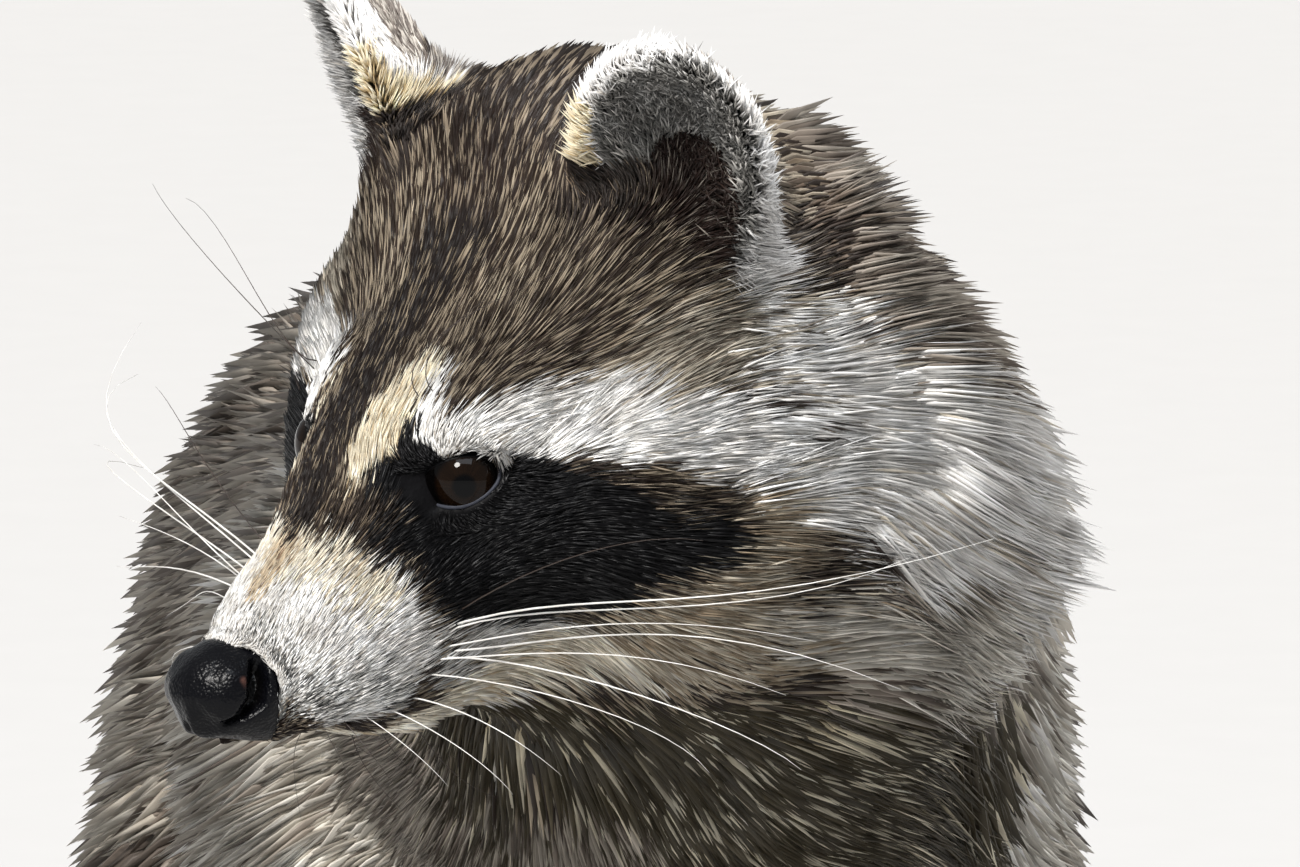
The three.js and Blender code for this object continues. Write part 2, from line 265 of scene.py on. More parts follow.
class Net:
    """A mesh's edges as arrays, along which values at its vertices are evened out."""

    def __init__(self, obj):
        count = len(obj.data.edges)
        ends = np.empty(count * 2, np.int32)
        obj.data.edges.foreach_get("vertices", ends)
        ends = ends.reshape(-1, 2)
        self.a = np.concatenate([ends[:, 0], ends[:, 1]])
        self.b = np.concatenate([ends[:, 1], ends[:, 0]])
        self.count = len(obj.data.vertices)
        self.degree = np.maximum(np.bincount(self.a, minlength=self.count), 1)

    def even(self, values, rounds, share=None):
        """Moves each vertex's value towards its neighbours' mean, where share (0 to 1) allows."""
        flat = values.reshape(self.count, -1).astype(float)
        weight = 1.0 if share is None else share.reshape(-1, 1)
        for _ in range(rounds):
            columns = range(flat.shape[1])
            total = np.stack([np.bincount(self.a, flat[self.b, k], minlength=self.count) for k in columns], 1)
            flat = flat + (total / self.degree[:, None] - flat) * weight
        return flat.reshape(values.shape)


# ---------------------------------------------------------------- materials
class Value:
    """A node's output. Arithmetic on it adds Math nodes."""

    def __init__(self, finish, socket):
        self.finish, self.socket = finish, socket

    def math(self, operation, *operands):
        return self.finish.node("ShaderNodeMath", {"operation": operation}, dict(enumerate(operands)))

    def __add__(self, other):
        return self.math("ADD", self, other)

    __radd__ = __add__

    def __rsub__(self, other):
        return self.math("SUBTRACT", other, self)

    def __mul__(self, other):
        return self.math("MULTIPLY", self, other)

    __rmul__ = __mul__


class Finish:
    """A material, built node by node around one Principled shader."""

    def __init__(self, name, **shader):
        self.material = bpy.data.materials.new(name)
        self.material.use_nodes = True
        self.tree = self.material.node_tree
        self.shader = self.tree.nodes["Principled BSDF"]
        for socket, value in shader.items():
            self.shader.inputs[socket.replace("_", " ")].default_value = value

    def put(self, socket, value):
        if isinstance(value, Value):
            self.tree.links.new(value.socket, socket)
        else:
            socket.default_value = value

    def node(self, kind, settings=None, inputs=None, outlet=0):
        """Adds a node of a kind and returns one of its outputs."""
        added = self.tree.nodes.new(kind)
        for name, value in (settings or {}).items():
            setattr(added, name, value)
        for name, value in (inputs or {}).items():
            self.put(added.inputs[name], value)
        return Value(self, added.outputs[outlet])

    def feed(self, socket, value):
        self.put(self.shader.inputs[socket], value)

    def here(self):
        """The piece's own coordinates."""
        return self.node("ShaderNodeTexCoord", outlet="Object")

    def painted(self, layer):
        """The colour kept at the vertices under this name."""
        return self.node("ShaderNodeAttribute", {"attribute_name": layer})

    def noise(self, vector, scale, detail=3.0, roughness=0.5):
        return self.node("ShaderNodeTexNoise", None, {
            "Vector": vector, "Scale": scale, "Detail": detail, "Roughness": roughness})

    def vector(self, operation, *operands, outlet=0):
        return self.node(
            "ShaderNodeVectorMath", {"operation": operation}, dict(enumerate(operands)), outlet)

    def mix(self, factor, a, b, blend="MIX"):
        """Mixes two colours."""
        settings = {"data_type": "RGBA", "blend_type": blend}
        return self.node("ShaderNodeMix", settings, {0: factor, 6: a, 7: b}, outlet=2)

    def shaded(self, colour, shade):
        """A colour multiplied by a fixed one."""
        return self.mix(1.0, colour, (*shade, 1), "MULTIPLY")

    def band(self, value, low, high):
        """0 below low, 1 above high, smooth between."""
        return self.node("ShaderNodeMapRange", {"interpolation_type": "SMOOTHSTEP"}, {
            "Value": value, "From Min": low, "From Max": high})

    def bump(self, height, strength, distance):
        normal = self.node("ShaderNodeBump", None, {
            "Height": height, "Strength": strength, "Distance": distance})
        self.feed("Normal", normal)


def coat_finish(name, roughness, specular):
    """Hair: the tuft's own colours, with a slight change of tone along the coat."""
    finish = Finish(name, Roughness=roughness, Specular_IOR_Level=specular)
    colour = finish.painted("coat")
    tone = finish.band(finish.noise(finish.here(), 160.0, 2.0), 0.25, 0.75)
    finish.feed("Base Color", finish.mix(tone, finish.shaded(colour, (0.74, 0.72, 0.70)), colour))
    return finish.material


def skin_finish():
    """Dark underwool and bare skin, glossier where it is bare."""
    finish = Finish("underwool", Specular_IOR_Level=0.08)
    bare = finish.painted("bare")
    here = finish.here()
    grain = finish.noise(here, 900.0, 3.0, 0.6)
    folds = finish.noise(here, 260.0, 2.0, 0.5)
    colour = finish.painted("coat")
    finish.feed("Base Color", finish.mix(grain, finish.shaded(colour, (0.6, 0.6, 0.6)), colour))
    shine = finish.node("ShaderNodeSeparateColor", None, {0: bare})
    finish.feed("Roughness", 0.85 - shine * 0.45)
    finish.bump(grain * 0.5 + folds * 0.5, 0.45, 0.0006)
    return finish.material


def eye_finish(settings, centre, gaze):
    """A dark brown iris round a black pupil, glossy as if wet."""
    finish = Finish("eye", Roughness=0.04, Specular_IOR_Level=0.14)
    out = finish.vector("NORMALIZE", finish.vector("SUBTRACT", finish.here(), tuple(centre)))
    facing = finish.vector("DOT_PRODUCT", out, tuple(gaze), outlet="Value")
    along = finish.vector("SCALE", tuple(gaze))
    finish.put(along.socket.node.inputs["Scale"], facing)
    spoke = finish.vector("NORMALIZE", finish.vector("SUBTRACT", out, along))
    fibres = finish.noise(spoke, 9.0, 4.0, 0.7)
    rim, inner = math.cos(settings.iris_angle), math.cos(settings.pupil_angle)
    brown = finish.mix(fibres, (*settings.iris_dark, 1), (*settings.iris_light, 1))
    pupil, surround = (0.0006, 0.0006, 0.0008, 1), (0.0012, 0.001, 0.001, 1)
    iris = finish.mix(finish.band(facing, inner - 0.02, inner + 0.01), brown, pupil)
    finish.feed("Base Color", finish.mix(finish.band(facing, rim - 0.09, rim + 0.05), surround, iris))
    return finish.material


def nose_finish():
    """Black moist leather in small pebbles."""
    finish = Finish("nose_leather", Specular_IOR_Level=0.12, Coat_Weight=0.05, Coat_Roughness=0.16)
    here = finish.here()
    cells = finish.node("ShaderNodeTexVoronoi", {"feature": "SMOOTH_F1"}, {
        "Vector": here, "Scale": 1900.0, "Smoothness": 0.6})
    blotch = finish.noise(here, 300.0, 3.0, 0.6)
    colour = finish.painted("coat")
    finish.feed("Base Color", finish.mix(blotch, finish.shaded(colour, (0.5, 0.5, 0.6)), colour))
    finish.feed("Roughness", 0.2 + blotch * 0.16)
    finish.bump(1 - cells, 0.4, 0.00035)
    return finish.material


def claw_finish():
    """Dark brown horn with lengthwise streaks."""
    finish = Finish("claw_horn", Coat_Weight=0.3, Coat_Roughness=0.25, Specular_IOR_Level=0.5)
    here = finish.here()
    streaks = finish.noise(finish.vector("MULTIPLY", here, (900.0, 160.0, 900.0)), 1.0, 3.0, 0.6)
    finish.feed("Base Color", finish.mix(streaks, (0.012, 0.009, 0.007, 1), (0.085, 0.06, 0.042, 1)))
    finish.feed("Roughness", 0.3 + streaks * 0.25)
    finish.bump(streaks, 0.3, 0.0003)
    return finish.material


def floor_finish(colour):
    """Matt paper with faint specks."""
    finish = Finish("floor", Specular_IOR_Level=0.2, Roughness=0.85)
    speck = finish.noise(finish.here(), 40.0, 4.0, 0.6)
    darker = tuple(c * 0.96 for c in colour)
    finish.feed("Base Color", finish.mix(speck, (*darker, 1), (*colour, 1)))
    return finish.material


# ---------------------------------------------------------------- settings
def length(name, about, default, **more):
    return bpy.props.FloatProperty(
        name=name, description=about, default=default, min=0, unit="LENGTH", subtype="DISTANCE",
        precision=5, **more)


def turn(name, about, degrees):
    return bpy.props.FloatProperty(
        name=name, description=about, default=math.radians(degrees), unit="ROTATION", subtype="ANGLE")


def share(name, about, default):
    return bpy.props.FloatProperty(
        name=name, description=about, default=default, min=0, max=4, subtype="FACTOR")


def strength(name, about, default):
    return bpy.props.FloatProperty(name=name, description=about, default=default, min=0)


def colour(name, about, default):
    return bpy.props.FloatVectorProperty(
        name=name, description=about, default=default, size=3, min=0, max=1, subtype="COLOR")


class CameraSettings(bpy.types.PropertyGroup):
    azimuth: turn("Azimuth", "Where the camera stands around the animal, from straight ahead", -5)
    elevation: turn("Elevation", "How far the camera looks down", 8)
    distance: length("Distance", "From the camera to the plane of the eyes", 2.0)
    width: length("Picture width", "What the picture takes in at the eyes", 1.3 / 6)
    right: length("Aim right", "How far right of the eyes the camera aims", 0.04417)
    up: length("Aim up", "How far above the eyes the camera aims", 0.00358)


class StageSettings(bpy.types.PropertyGroup):
    floor: colour("Floor", "The floor's colour", (0.52, 0.515, 0.51))
    key: strength("Key light", "Strength of the key light", 4.1)
    rim: strength("Rim light", "Strength of the light from behind", 1.9)
    sky: strength("Soft light", "Power of the soft light overhead", 9.0)
    fill: strength("Fill", "Strength of the room's light", 0.38)


class SkinSettings(bpy.types.PropertyGroup):
    voxel: length("Fineness", "Size of the skin's first grid", 0.0026)
    swell: length("Swell", "Growth that closes the cuts between the solids", 0.0005)
    thinned: share("Thinned", "Share of the first grid's faces kept behind the head", 0.42)
    toes: length("Toes", "How far the toes' tips swell round the claws' roots", 0.0032)


class EyeSettings(bpy.types.PropertyGroup):
    radius: length("Radius", "The eyeball's radius", 0.00735)
    wide: turn("Half width", "Half the opening between the corners of the lids", 56.1)
    high: turn("Half height", "Half the opening between the lids", 35.7)
    slant: turn("Slant", "How far the opening's long axis is turned", 19.2)
    lid: length("Lid thickness", "Thickness of the lids at their edge", 0.0009)
    iris_angle: turn("Iris", "Half angle of the iris on the ball", 37)
    pupil_angle: turn("Pupil", "Half angle of the pupil on the ball", 14)
    iris_dark: colour("Iris, dark", "The iris between its fibres", (0.0012, 0.0007, 0.0004))
    iris_light: colour("Iris, light", "The iris's fibres", (0.012, 0.006, 0.003))


class CoatSettings(bpy.types.PropertyGroup):
    dense: share("Density", "How many tufts grow, against the full coat", 1.0)
    long: share("Length", "Length of the tufts", 1.0)
    thick: share("Width", "Width of the tufts", 1.0)
    curl: share("Waviness", "How far neighbouring tufts lean apart", 1.0)


class WhiskerSettings(bpy.types.PropertyGroup):
    root: length("Root", "Radius of a whisker at its root", 0.00021)
    tip: length("Tip", "Radius of a whisker near its tip", 0.00004)


# ---------------------------------------------------------------- the coat's plan
# Spots in the head's axes (f, distance from the midline, u): the coat's depth, the tufts' length and
# width in mm, their lift from the skin in degrees, tufts per square mm, how far they gather into locks,
# and which way they lie (f, outward, u).
Spot = collections.namedtuple("Spot", "place depth length width lift dense lock lie")
HEAD_SPOTS = [Spot(*row) for row in (
    ((50, 0, -8), 0.3, 1.4, 0.22, 12, 9.0, 0.1, (-1, 0, 0.4)),
    ((44, 0, -5), 0.7, 2.6, 0.20, 15, 10.0, 0.1, (-1, 0, 0.45)),
    ((46, 9, -9), 0.5, 1.7, 0.20, 14, 10.0, 0.1, (-1, 0.05, 0.3)),
    ((47, 11, -17), 0.4, 1.4, 0.22, 12, 9.0, 0.1, (-1, 0.3, 0.05)),
    ((42, 10, -18), 0.7, 2.9, 0.20, 14, 9.5, 0.15, (-1, 0.35, 0.05)),
    ((38, 7, -5), 0.9, 4.0, 0.22, 15, 8.0, 0.15, (-1, -0.2, 0.45)),
    ((30, 14, -13), 1.2, 5.0, 0.23, 14, 7.5, 0.2, (-1, 0.12, 0.12)),
    ((30, 10, -26), 1.1, 4.4, 0.22, 15, 8.0, 0.2, (-1, 0.3, -0.12)),
    ((34, 0, -3), 0.9, 4.2, 0.22, 15, 8.0, 0.15, (-1, 0, 0.45)),
    ((22, 0, 4), 1.2, 5.0, 0.22, 16, 8.5, 0.15, (-0.9, 0, 0.6)),
    ((26, 8, -1), 1.1, 5.2, 0.22, 16, 8.0, 0.15, (-1, -0.2, 0.5)),
    ((14, 8, 8), 1.3, 5.5, 0.22, 16, 9.0, 0.2, (-0.9, -0.25, 0.5)),
    ((5, 9, 13), 1.7, 6.5, 0.22, 17, 9.0, 0.2, (-0.9, -0.1, 0.5)),
    ((22, 17, -8), 1.3, 6.0, 0.23, 14, 7.5, 0.2, (-1, 0.05, 0.15)),
    ((20, 21, -18), 1.5, 7.0, 0.24, 14, 7.0, 0.2, (-0.95, 0.35, 0.0)),
    ((12, 21, -9), 1.2, 3.2, 0.26, 11, 6.0, 0.15, (-0.85, 0.6, 0)),
    ((4, 22, 0), 0.8, 3.0, 0.26, 10, 7.0, 0.15, (-0.7, 0.75, 0)),
    ((8, 13, 9), 1.3, 4.0, 0.27, 14, 7.0, 0.2, (-0.9, 0.0, 0.5)),
    ((10, 25, -22), 1.9, 6.0, 0.25, 14, 6.6, 0.3, (-0.85, 0.45, -0.1)),
    ((-4, 44, -12), 2.8, 7.5, 0.26, 13, 6.4, 0.35, (-0.65, 0.75, -0.05)),
    ((-12, 55, -14), 4.0, 10.0, 0.28, 15, 5.6, 0.4, (-0.65, 0.7, -0.2)),
    ((1, 14, 12), 2.0, 7.0, 0.22, 18, 9.0, 0.25, (-0.8, 0.25, 0.6)),
    ((-7, 26, 8), 3.0, 10.0, 0.25, 17, 7.6, 0.3, (-0.75, 0.65, 0.15)),
    ((-14, 41, 3), 3.8, 13.0, 0.30, 16, 6.0, 0.4, (-0.65, 0.75, -0.1)),
    ((-23, 60, -11), 5.5, 17.0, 0.38, 18, 4.4, 0.5, (-0.7, 0.5, -0.45)),
    ((-10, 8, 19), 2.3, 8.0, 0.21, 17, 10.5, 0.2, (-0.9, 0.1, 0.45)),
    ((-25, 12, 26), 3.6, 10.5, 0.23, 20, 9.0, 0.25, (-0.9, 0.05, 0.4)),
    ((-20, 38, 8), 3.6, 11.0, 0.24, 17, 8.0, 0.3, (-0.9, 0.4, 0.1)),
    ((-39, 45, 13), 4.5, 14.0, 0.27, 20, 6.4, 0.35, (-0.9, 0.35, -0.1)),
    ((-50, 0, 42), 5.5, 14.0, 0.26, 24, 6.4, 0.3, (-1, 0, 0.1)),
    ((-70, 0, 36), 9.0, 19.0, 0.40, 26, 3.2, 0.45, (-1, 0, -0.2)),
    ((-60, 48, 11), 8.0, 20.0, 0.38, 25, 3.4, 0.5, (-0.85, 0.1, -0.45)),
    ((-21, 62, -23), 6.5, 20.0, 0.30, 20, 4.8, 0.45, (-0.7, 0.35, -0.6)),
    ((-46, 67, -23), 9.0, 31.0, 0.35, 24, 3.2, 0.55, (-0.65, 0.3, -0.7)),
    ((-5, 50, -31), 4.5, 14.0, 0.31, 18, 5.2, 0.4, (-0.65, 0.6, -0.45)),
    ((-1, 33, -35), 3.6, 12.0, 0.30, 18, 5.4, 0.4, (-0.75, 0.35, -0.55)),
    ((24, 5, -34), 1.3, 10.5, 0.26, 38, 7.0, 0.35, (-0.9, 0.1, -0.45)),
    ((6, 8, -42), 2.8, 14.0, 0.30, 34, 5.0, 0.45, (-0.7, 0.1, -0.7)),
    ((-10, 10, -58), 7.0, 24.0, 0.38, 28, 3.4, 0.6, (-0.5, 0.1, -0.85)),
    ((-35, 55, -55), 8.5, 32.0, 0.36, 28, 3.0, 0.6, (-0.5, 0.35, -0.8)),
    ((-85, 0, 20), 12.0, 26.0, 0.68, 26, 1.3, 0.5, (-0.85, 0, -0.5)),
    ((-85, 50, -15), 11.0, 32.0, 0.66, 30, 1.5, 0.6, (-0.7, 0.2, -0.65)),
    ((-80, 60, -50), 11.0, 36.0, 0.62, 32, 1.7, 0.65, (-0.6, 0.4, -0.7)),
    ((-70, 30, -90), 12.0, 36.0, 0.72, 30, 1.4, 0.7, (-0.2, 0.15, -1)),
)]
# The same for the body, by solid. The lie is in the row frame.
BODY_SPOTS = {
    "trunk": Spot(None, 15.0, 38.0, 0.75, 27, 0.44, 0.45, (0, 1, -0.45)),
    "tail_root": Spot(None, 17.0, 38.0, 1.5, 30, 0.30, 0.4, (0.06, 0.75, -0.65)),
    "tail_end": Spot(None, 15.0, 34.0, 1.4, 32, 0.36, 0.4, (0.3, 0.9, -0.3)),
    "foreleg": Spot(None, 5.0, 14.0, 1.0, 24, 0.50, 0.4, (0, 0.25, -1)),
    "hindleg": Spot(None, 8.0, 20.0, 1.2, 24, 0.38, 0.45, (0, 0.3, -1)),
    "forepaw": Spot(None, 1.3, 4.5, 0.55, 18, 1.5, 0.2, (0, -1, -0.5)),
    "hindpaw": Spot(None, 1.3, 4.5, 0.55, 18, 1.5, 0.2, (0, -1, -0.5)),
    "ear": Spot(None, 0.8, 5.2, 0.28, 26, 4.6, 0.25, (0, 0, 1)),
}
FIELDS = ("depth", "length", "width", "lift", "dense", "lock")
DEPTH, LENGTH, WIDTH, LIFT, DENSE, LOCK = range(len(FIELDS))
# The left ear in the head's axes: its base in mm, and the ways up it, across it and out of its hollow.
EAR_BASE = (-39.4, 35, 25.8)
EAR_UP = (-0.182, 0.336, 0.924)
EAR_ACROSS = (-0.393, 0.836, -0.382)
EAR_FRONT = (0.885, 0.425, 0.02)
TAIL_RINGS = 6
HEAD_REACH = 190  # mm from between the eyes that the head's markings reach

# Furs, in linear colours: a tuft's root, middle and tip, the share of the tufts that are flecks, and the
# middle and tip of a fleck, whose root is as the others'.
Fur = collections.namedtuple("Fur", "root mid tip fleck fleck_mid fleck_tip")
FURS = {
    "grizzled": Fur(
        (0.010, 0.0065, 0.005), (0.022, 0.015, 0.0115), (0.042, 0.029, 0.021),
        0.38, (0.095, 0.071, 0.049), (0.52, 0.44, 0.33)),
    "crown": Fur(
        (0.009, 0.006, 0.005), (0.017, 0.011, 0.009), (0.029, 0.0195, 0.0155),
        0.25, (0.058, 0.042, 0.031), (0.37, 0.3, 0.22)),
    "temple": Fur(
        (0.025, 0.018, 0.014), (0.08, 0.064, 0.048), (0.175, 0.143, 0.11),
        0.6, (0.29, 0.25, 0.195), (0.62, 0.57, 0.475)),
    "tan": Fur(
        (0.06, 0.042, 0.028), (0.24, 0.185, 0.125), (0.42, 0.345, 0.25),
        0.45, (0.5, 0.44, 0.34), (0.74, 0.68, 0.57)),
    "white": Fur(
        (0.55, 0.53, 0.49), (0.88, 0.87, 0.845), (0.96, 0.955, 0.94),
        0.1, (0.45, 0.41, 0.34), (0.7, 0.65, 0.57)),
    "brow": Fur(
        (0.5, 0.47, 0.43), (0.9, 0.89, 0.86), (0.96, 0.96, 0.95),
        0.03, (0.5, 0.45, 0.38), (0.7, 0.66, 0.6)),
    "cream": Fur(
        (0.3, 0.22, 0.13), (0.8, 0.71, 0.53), (0.92, 0.86, 0.71),
        0.12, (0.42, 0.32, 0.19), (0.62, 0.5, 0.33)),
    "muzzle": Fur(
        (0.6, 0.57, 0.52), (0.92, 0.9, 0.87), (0.97, 0.96, 0.94),
        0.06, (0.34, 0.31, 0.27), (0.55, 0.52, 0.47)),
    "muzzle_cream": Fur(
        (0.4, 0.33, 0.23), (0.85, 0.77, 0.62), (0.95, 0.9, 0.79),
        0.1, (0.4, 0.31, 0.2), (0.62, 0.52, 0.38)),
    "muzzle_grey": Fur(
        (0.07, 0.07, 0.067), (0.32, 0.32, 0.305), (0.6, 0.6, 0.58),
        0.35, (0.04, 0.04, 0.039), (0.14, 0.14, 0.135)),
    "bridge": Fur(
        (0.2, 0.13, 0.08), (0.55, 0.43, 0.29), (0.8, 0.7, 0.54),
        0.2, (0.1, 0.065, 0.04), (0.3, 0.2, 0.13)),
    "lip": Fur(
        (0.02, 0.02, 0.02), (0.08, 0.082, 0.08), (0.2, 0.2, 0.195),
        0.3, (0.3, 0.3, 0.29), (0.5, 0.5, 0.48)),
    "mask": Fur(
        (0.0015, 0.0015, 0.0018), (0.003, 0.0029, 0.0035), (0.007, 0.0067, 0.008),
        0.05, (0.02, 0.02, 0.021), (0.12, 0.12, 0.122)),
    "stripe": Fur(
        (0.005, 0.004, 0.003), (0.013, 0.010, 0.009), (0.024, 0.018, 0.016),
        0.14, (0.07, 0.052, 0.036), (0.38, 0.31, 0.22)),
    "dusk": Fur(
        (0.007, 0.005, 0.004), (0.017, 0.012, 0.009), (0.04, 0.028, 0.021),
        0.22, (0.07, 0.05, 0.034), (0.3, 0.235, 0.165)),
    "greyish": Fur(
        (0.07, 0.055, 0.04), (0.36, 0.33, 0.28), (0.62, 0.59, 0.53),
        0.42, (0.58, 0.55, 0.49), (0.86, 0.84, 0.78)),
    "throat": Fur(
        (0.010, 0.0075, 0.0045), (0.032, 0.0255, 0.0145), (0.072, 0.059, 0.035),
        0.15, (0.36, 0.31, 0.21), (0.76, 0.71, 0.57)),
    "nape": Fur(
        (0.010, 0.007, 0.006), (0.03, 0.0215, 0.017), (0.048, 0.035, 0.028),
        0.4, (0.12, 0.09, 0.068), (0.43, 0.37, 0.3)),
    "back": Fur(
        (0.045, 0.035, 0.028), (0.185, 0.155, 0.128), (0.14, 0.115, 0.095),
        0.6, (0.265, 0.23, 0.195), (0.45, 0.41, 0.35)),
    "belly": Fur(
        (0.12, 0.1, 0.08), (0.38, 0.34, 0.285), (0.56, 0.52, 0.45),
        0.4, (0.42, 0.38, 0.32), (0.74, 0.7, 0.62)),
    "leg": Fur(
        (0.02, 0.015, 0.012), (0.08, 0.064, 0.052), (0.13, 0.108, 0.09),
        0.35, (0.18, 0.15, 0.125), (0.46, 0.42, 0.36)),
    "paw": Fur(
        (0.14, 0.12, 0.1), (0.38, 0.35, 0.3), (0.56, 0.53, 0.48),
        0.3, (0.44, 0.41, 0.37), (0.68, 0.65, 0.59)),
    "tail_pale": Fur(
        (0.09, 0.07, 0.052), (0.36, 0.3, 0.225), (0.54, 0.47, 0.37),
        0.3, (0.16, 0.125, 0.09), (0.28, 0.23, 0.17)),
    "tail_dark": Fur(
        (0.008, 0.006, 0.005), (0.018, 0.013, 0.011), (0.028, 0.02, 0.017),
        0.08, (0.08, 0.06, 0.045), (0.25, 0.2, 0.15)),
    "ear_white": Fur(
        (0.42, 0.4, 0.38), (0.84, 0.83, 0.82), (0.95, 0.95, 0.95),
        0.04, (0.5, 0.47, 0.43), (0.7, 0.67, 0.63)),
    "ear_cream": Fur(
        (0.3, 0.22, 0.12), (0.76, 0.64, 0.42), (0.88, 0.8, 0.62),
        0.12, (0.45, 0.33, 0.17), (0.65, 0.5, 0.28)),
    "ear_grey": Fur(
        (0.014, 0.013, 0.012), (0.095, 0.093, 0.087), (0.22, 0.217, 0.205),
        0.34, (0.27, 0.265, 0.25), (0.56, 0.55, 0.53)),
    "ear_hollow": Fur(
        (0.008, 0.003, 0.002), (0.015, 0.0065, 0.0045), (0.03, 0.0165, 0.012),
        0.1, (0.09, 0.075, 0.06), (0.3, 0.27, 0.235)),
    "ear_black": Fur(
        (0.006, 0.004, 0.003), (0.012, 0.008, 0.006), (0.022, 0.014, 0.010),
        0.10, (0.05, 0.036, 0.025), (0.25, 0.19, 0.13)),
    "ear_back": Fur(
        (0.03, 0.024, 0.02), (0.11, 0.09, 0.078), (0.2, 0.17, 0.15),
        0.4, (0.34, 0.31, 0.27), (0.62, 0.58, 0.53)),
}
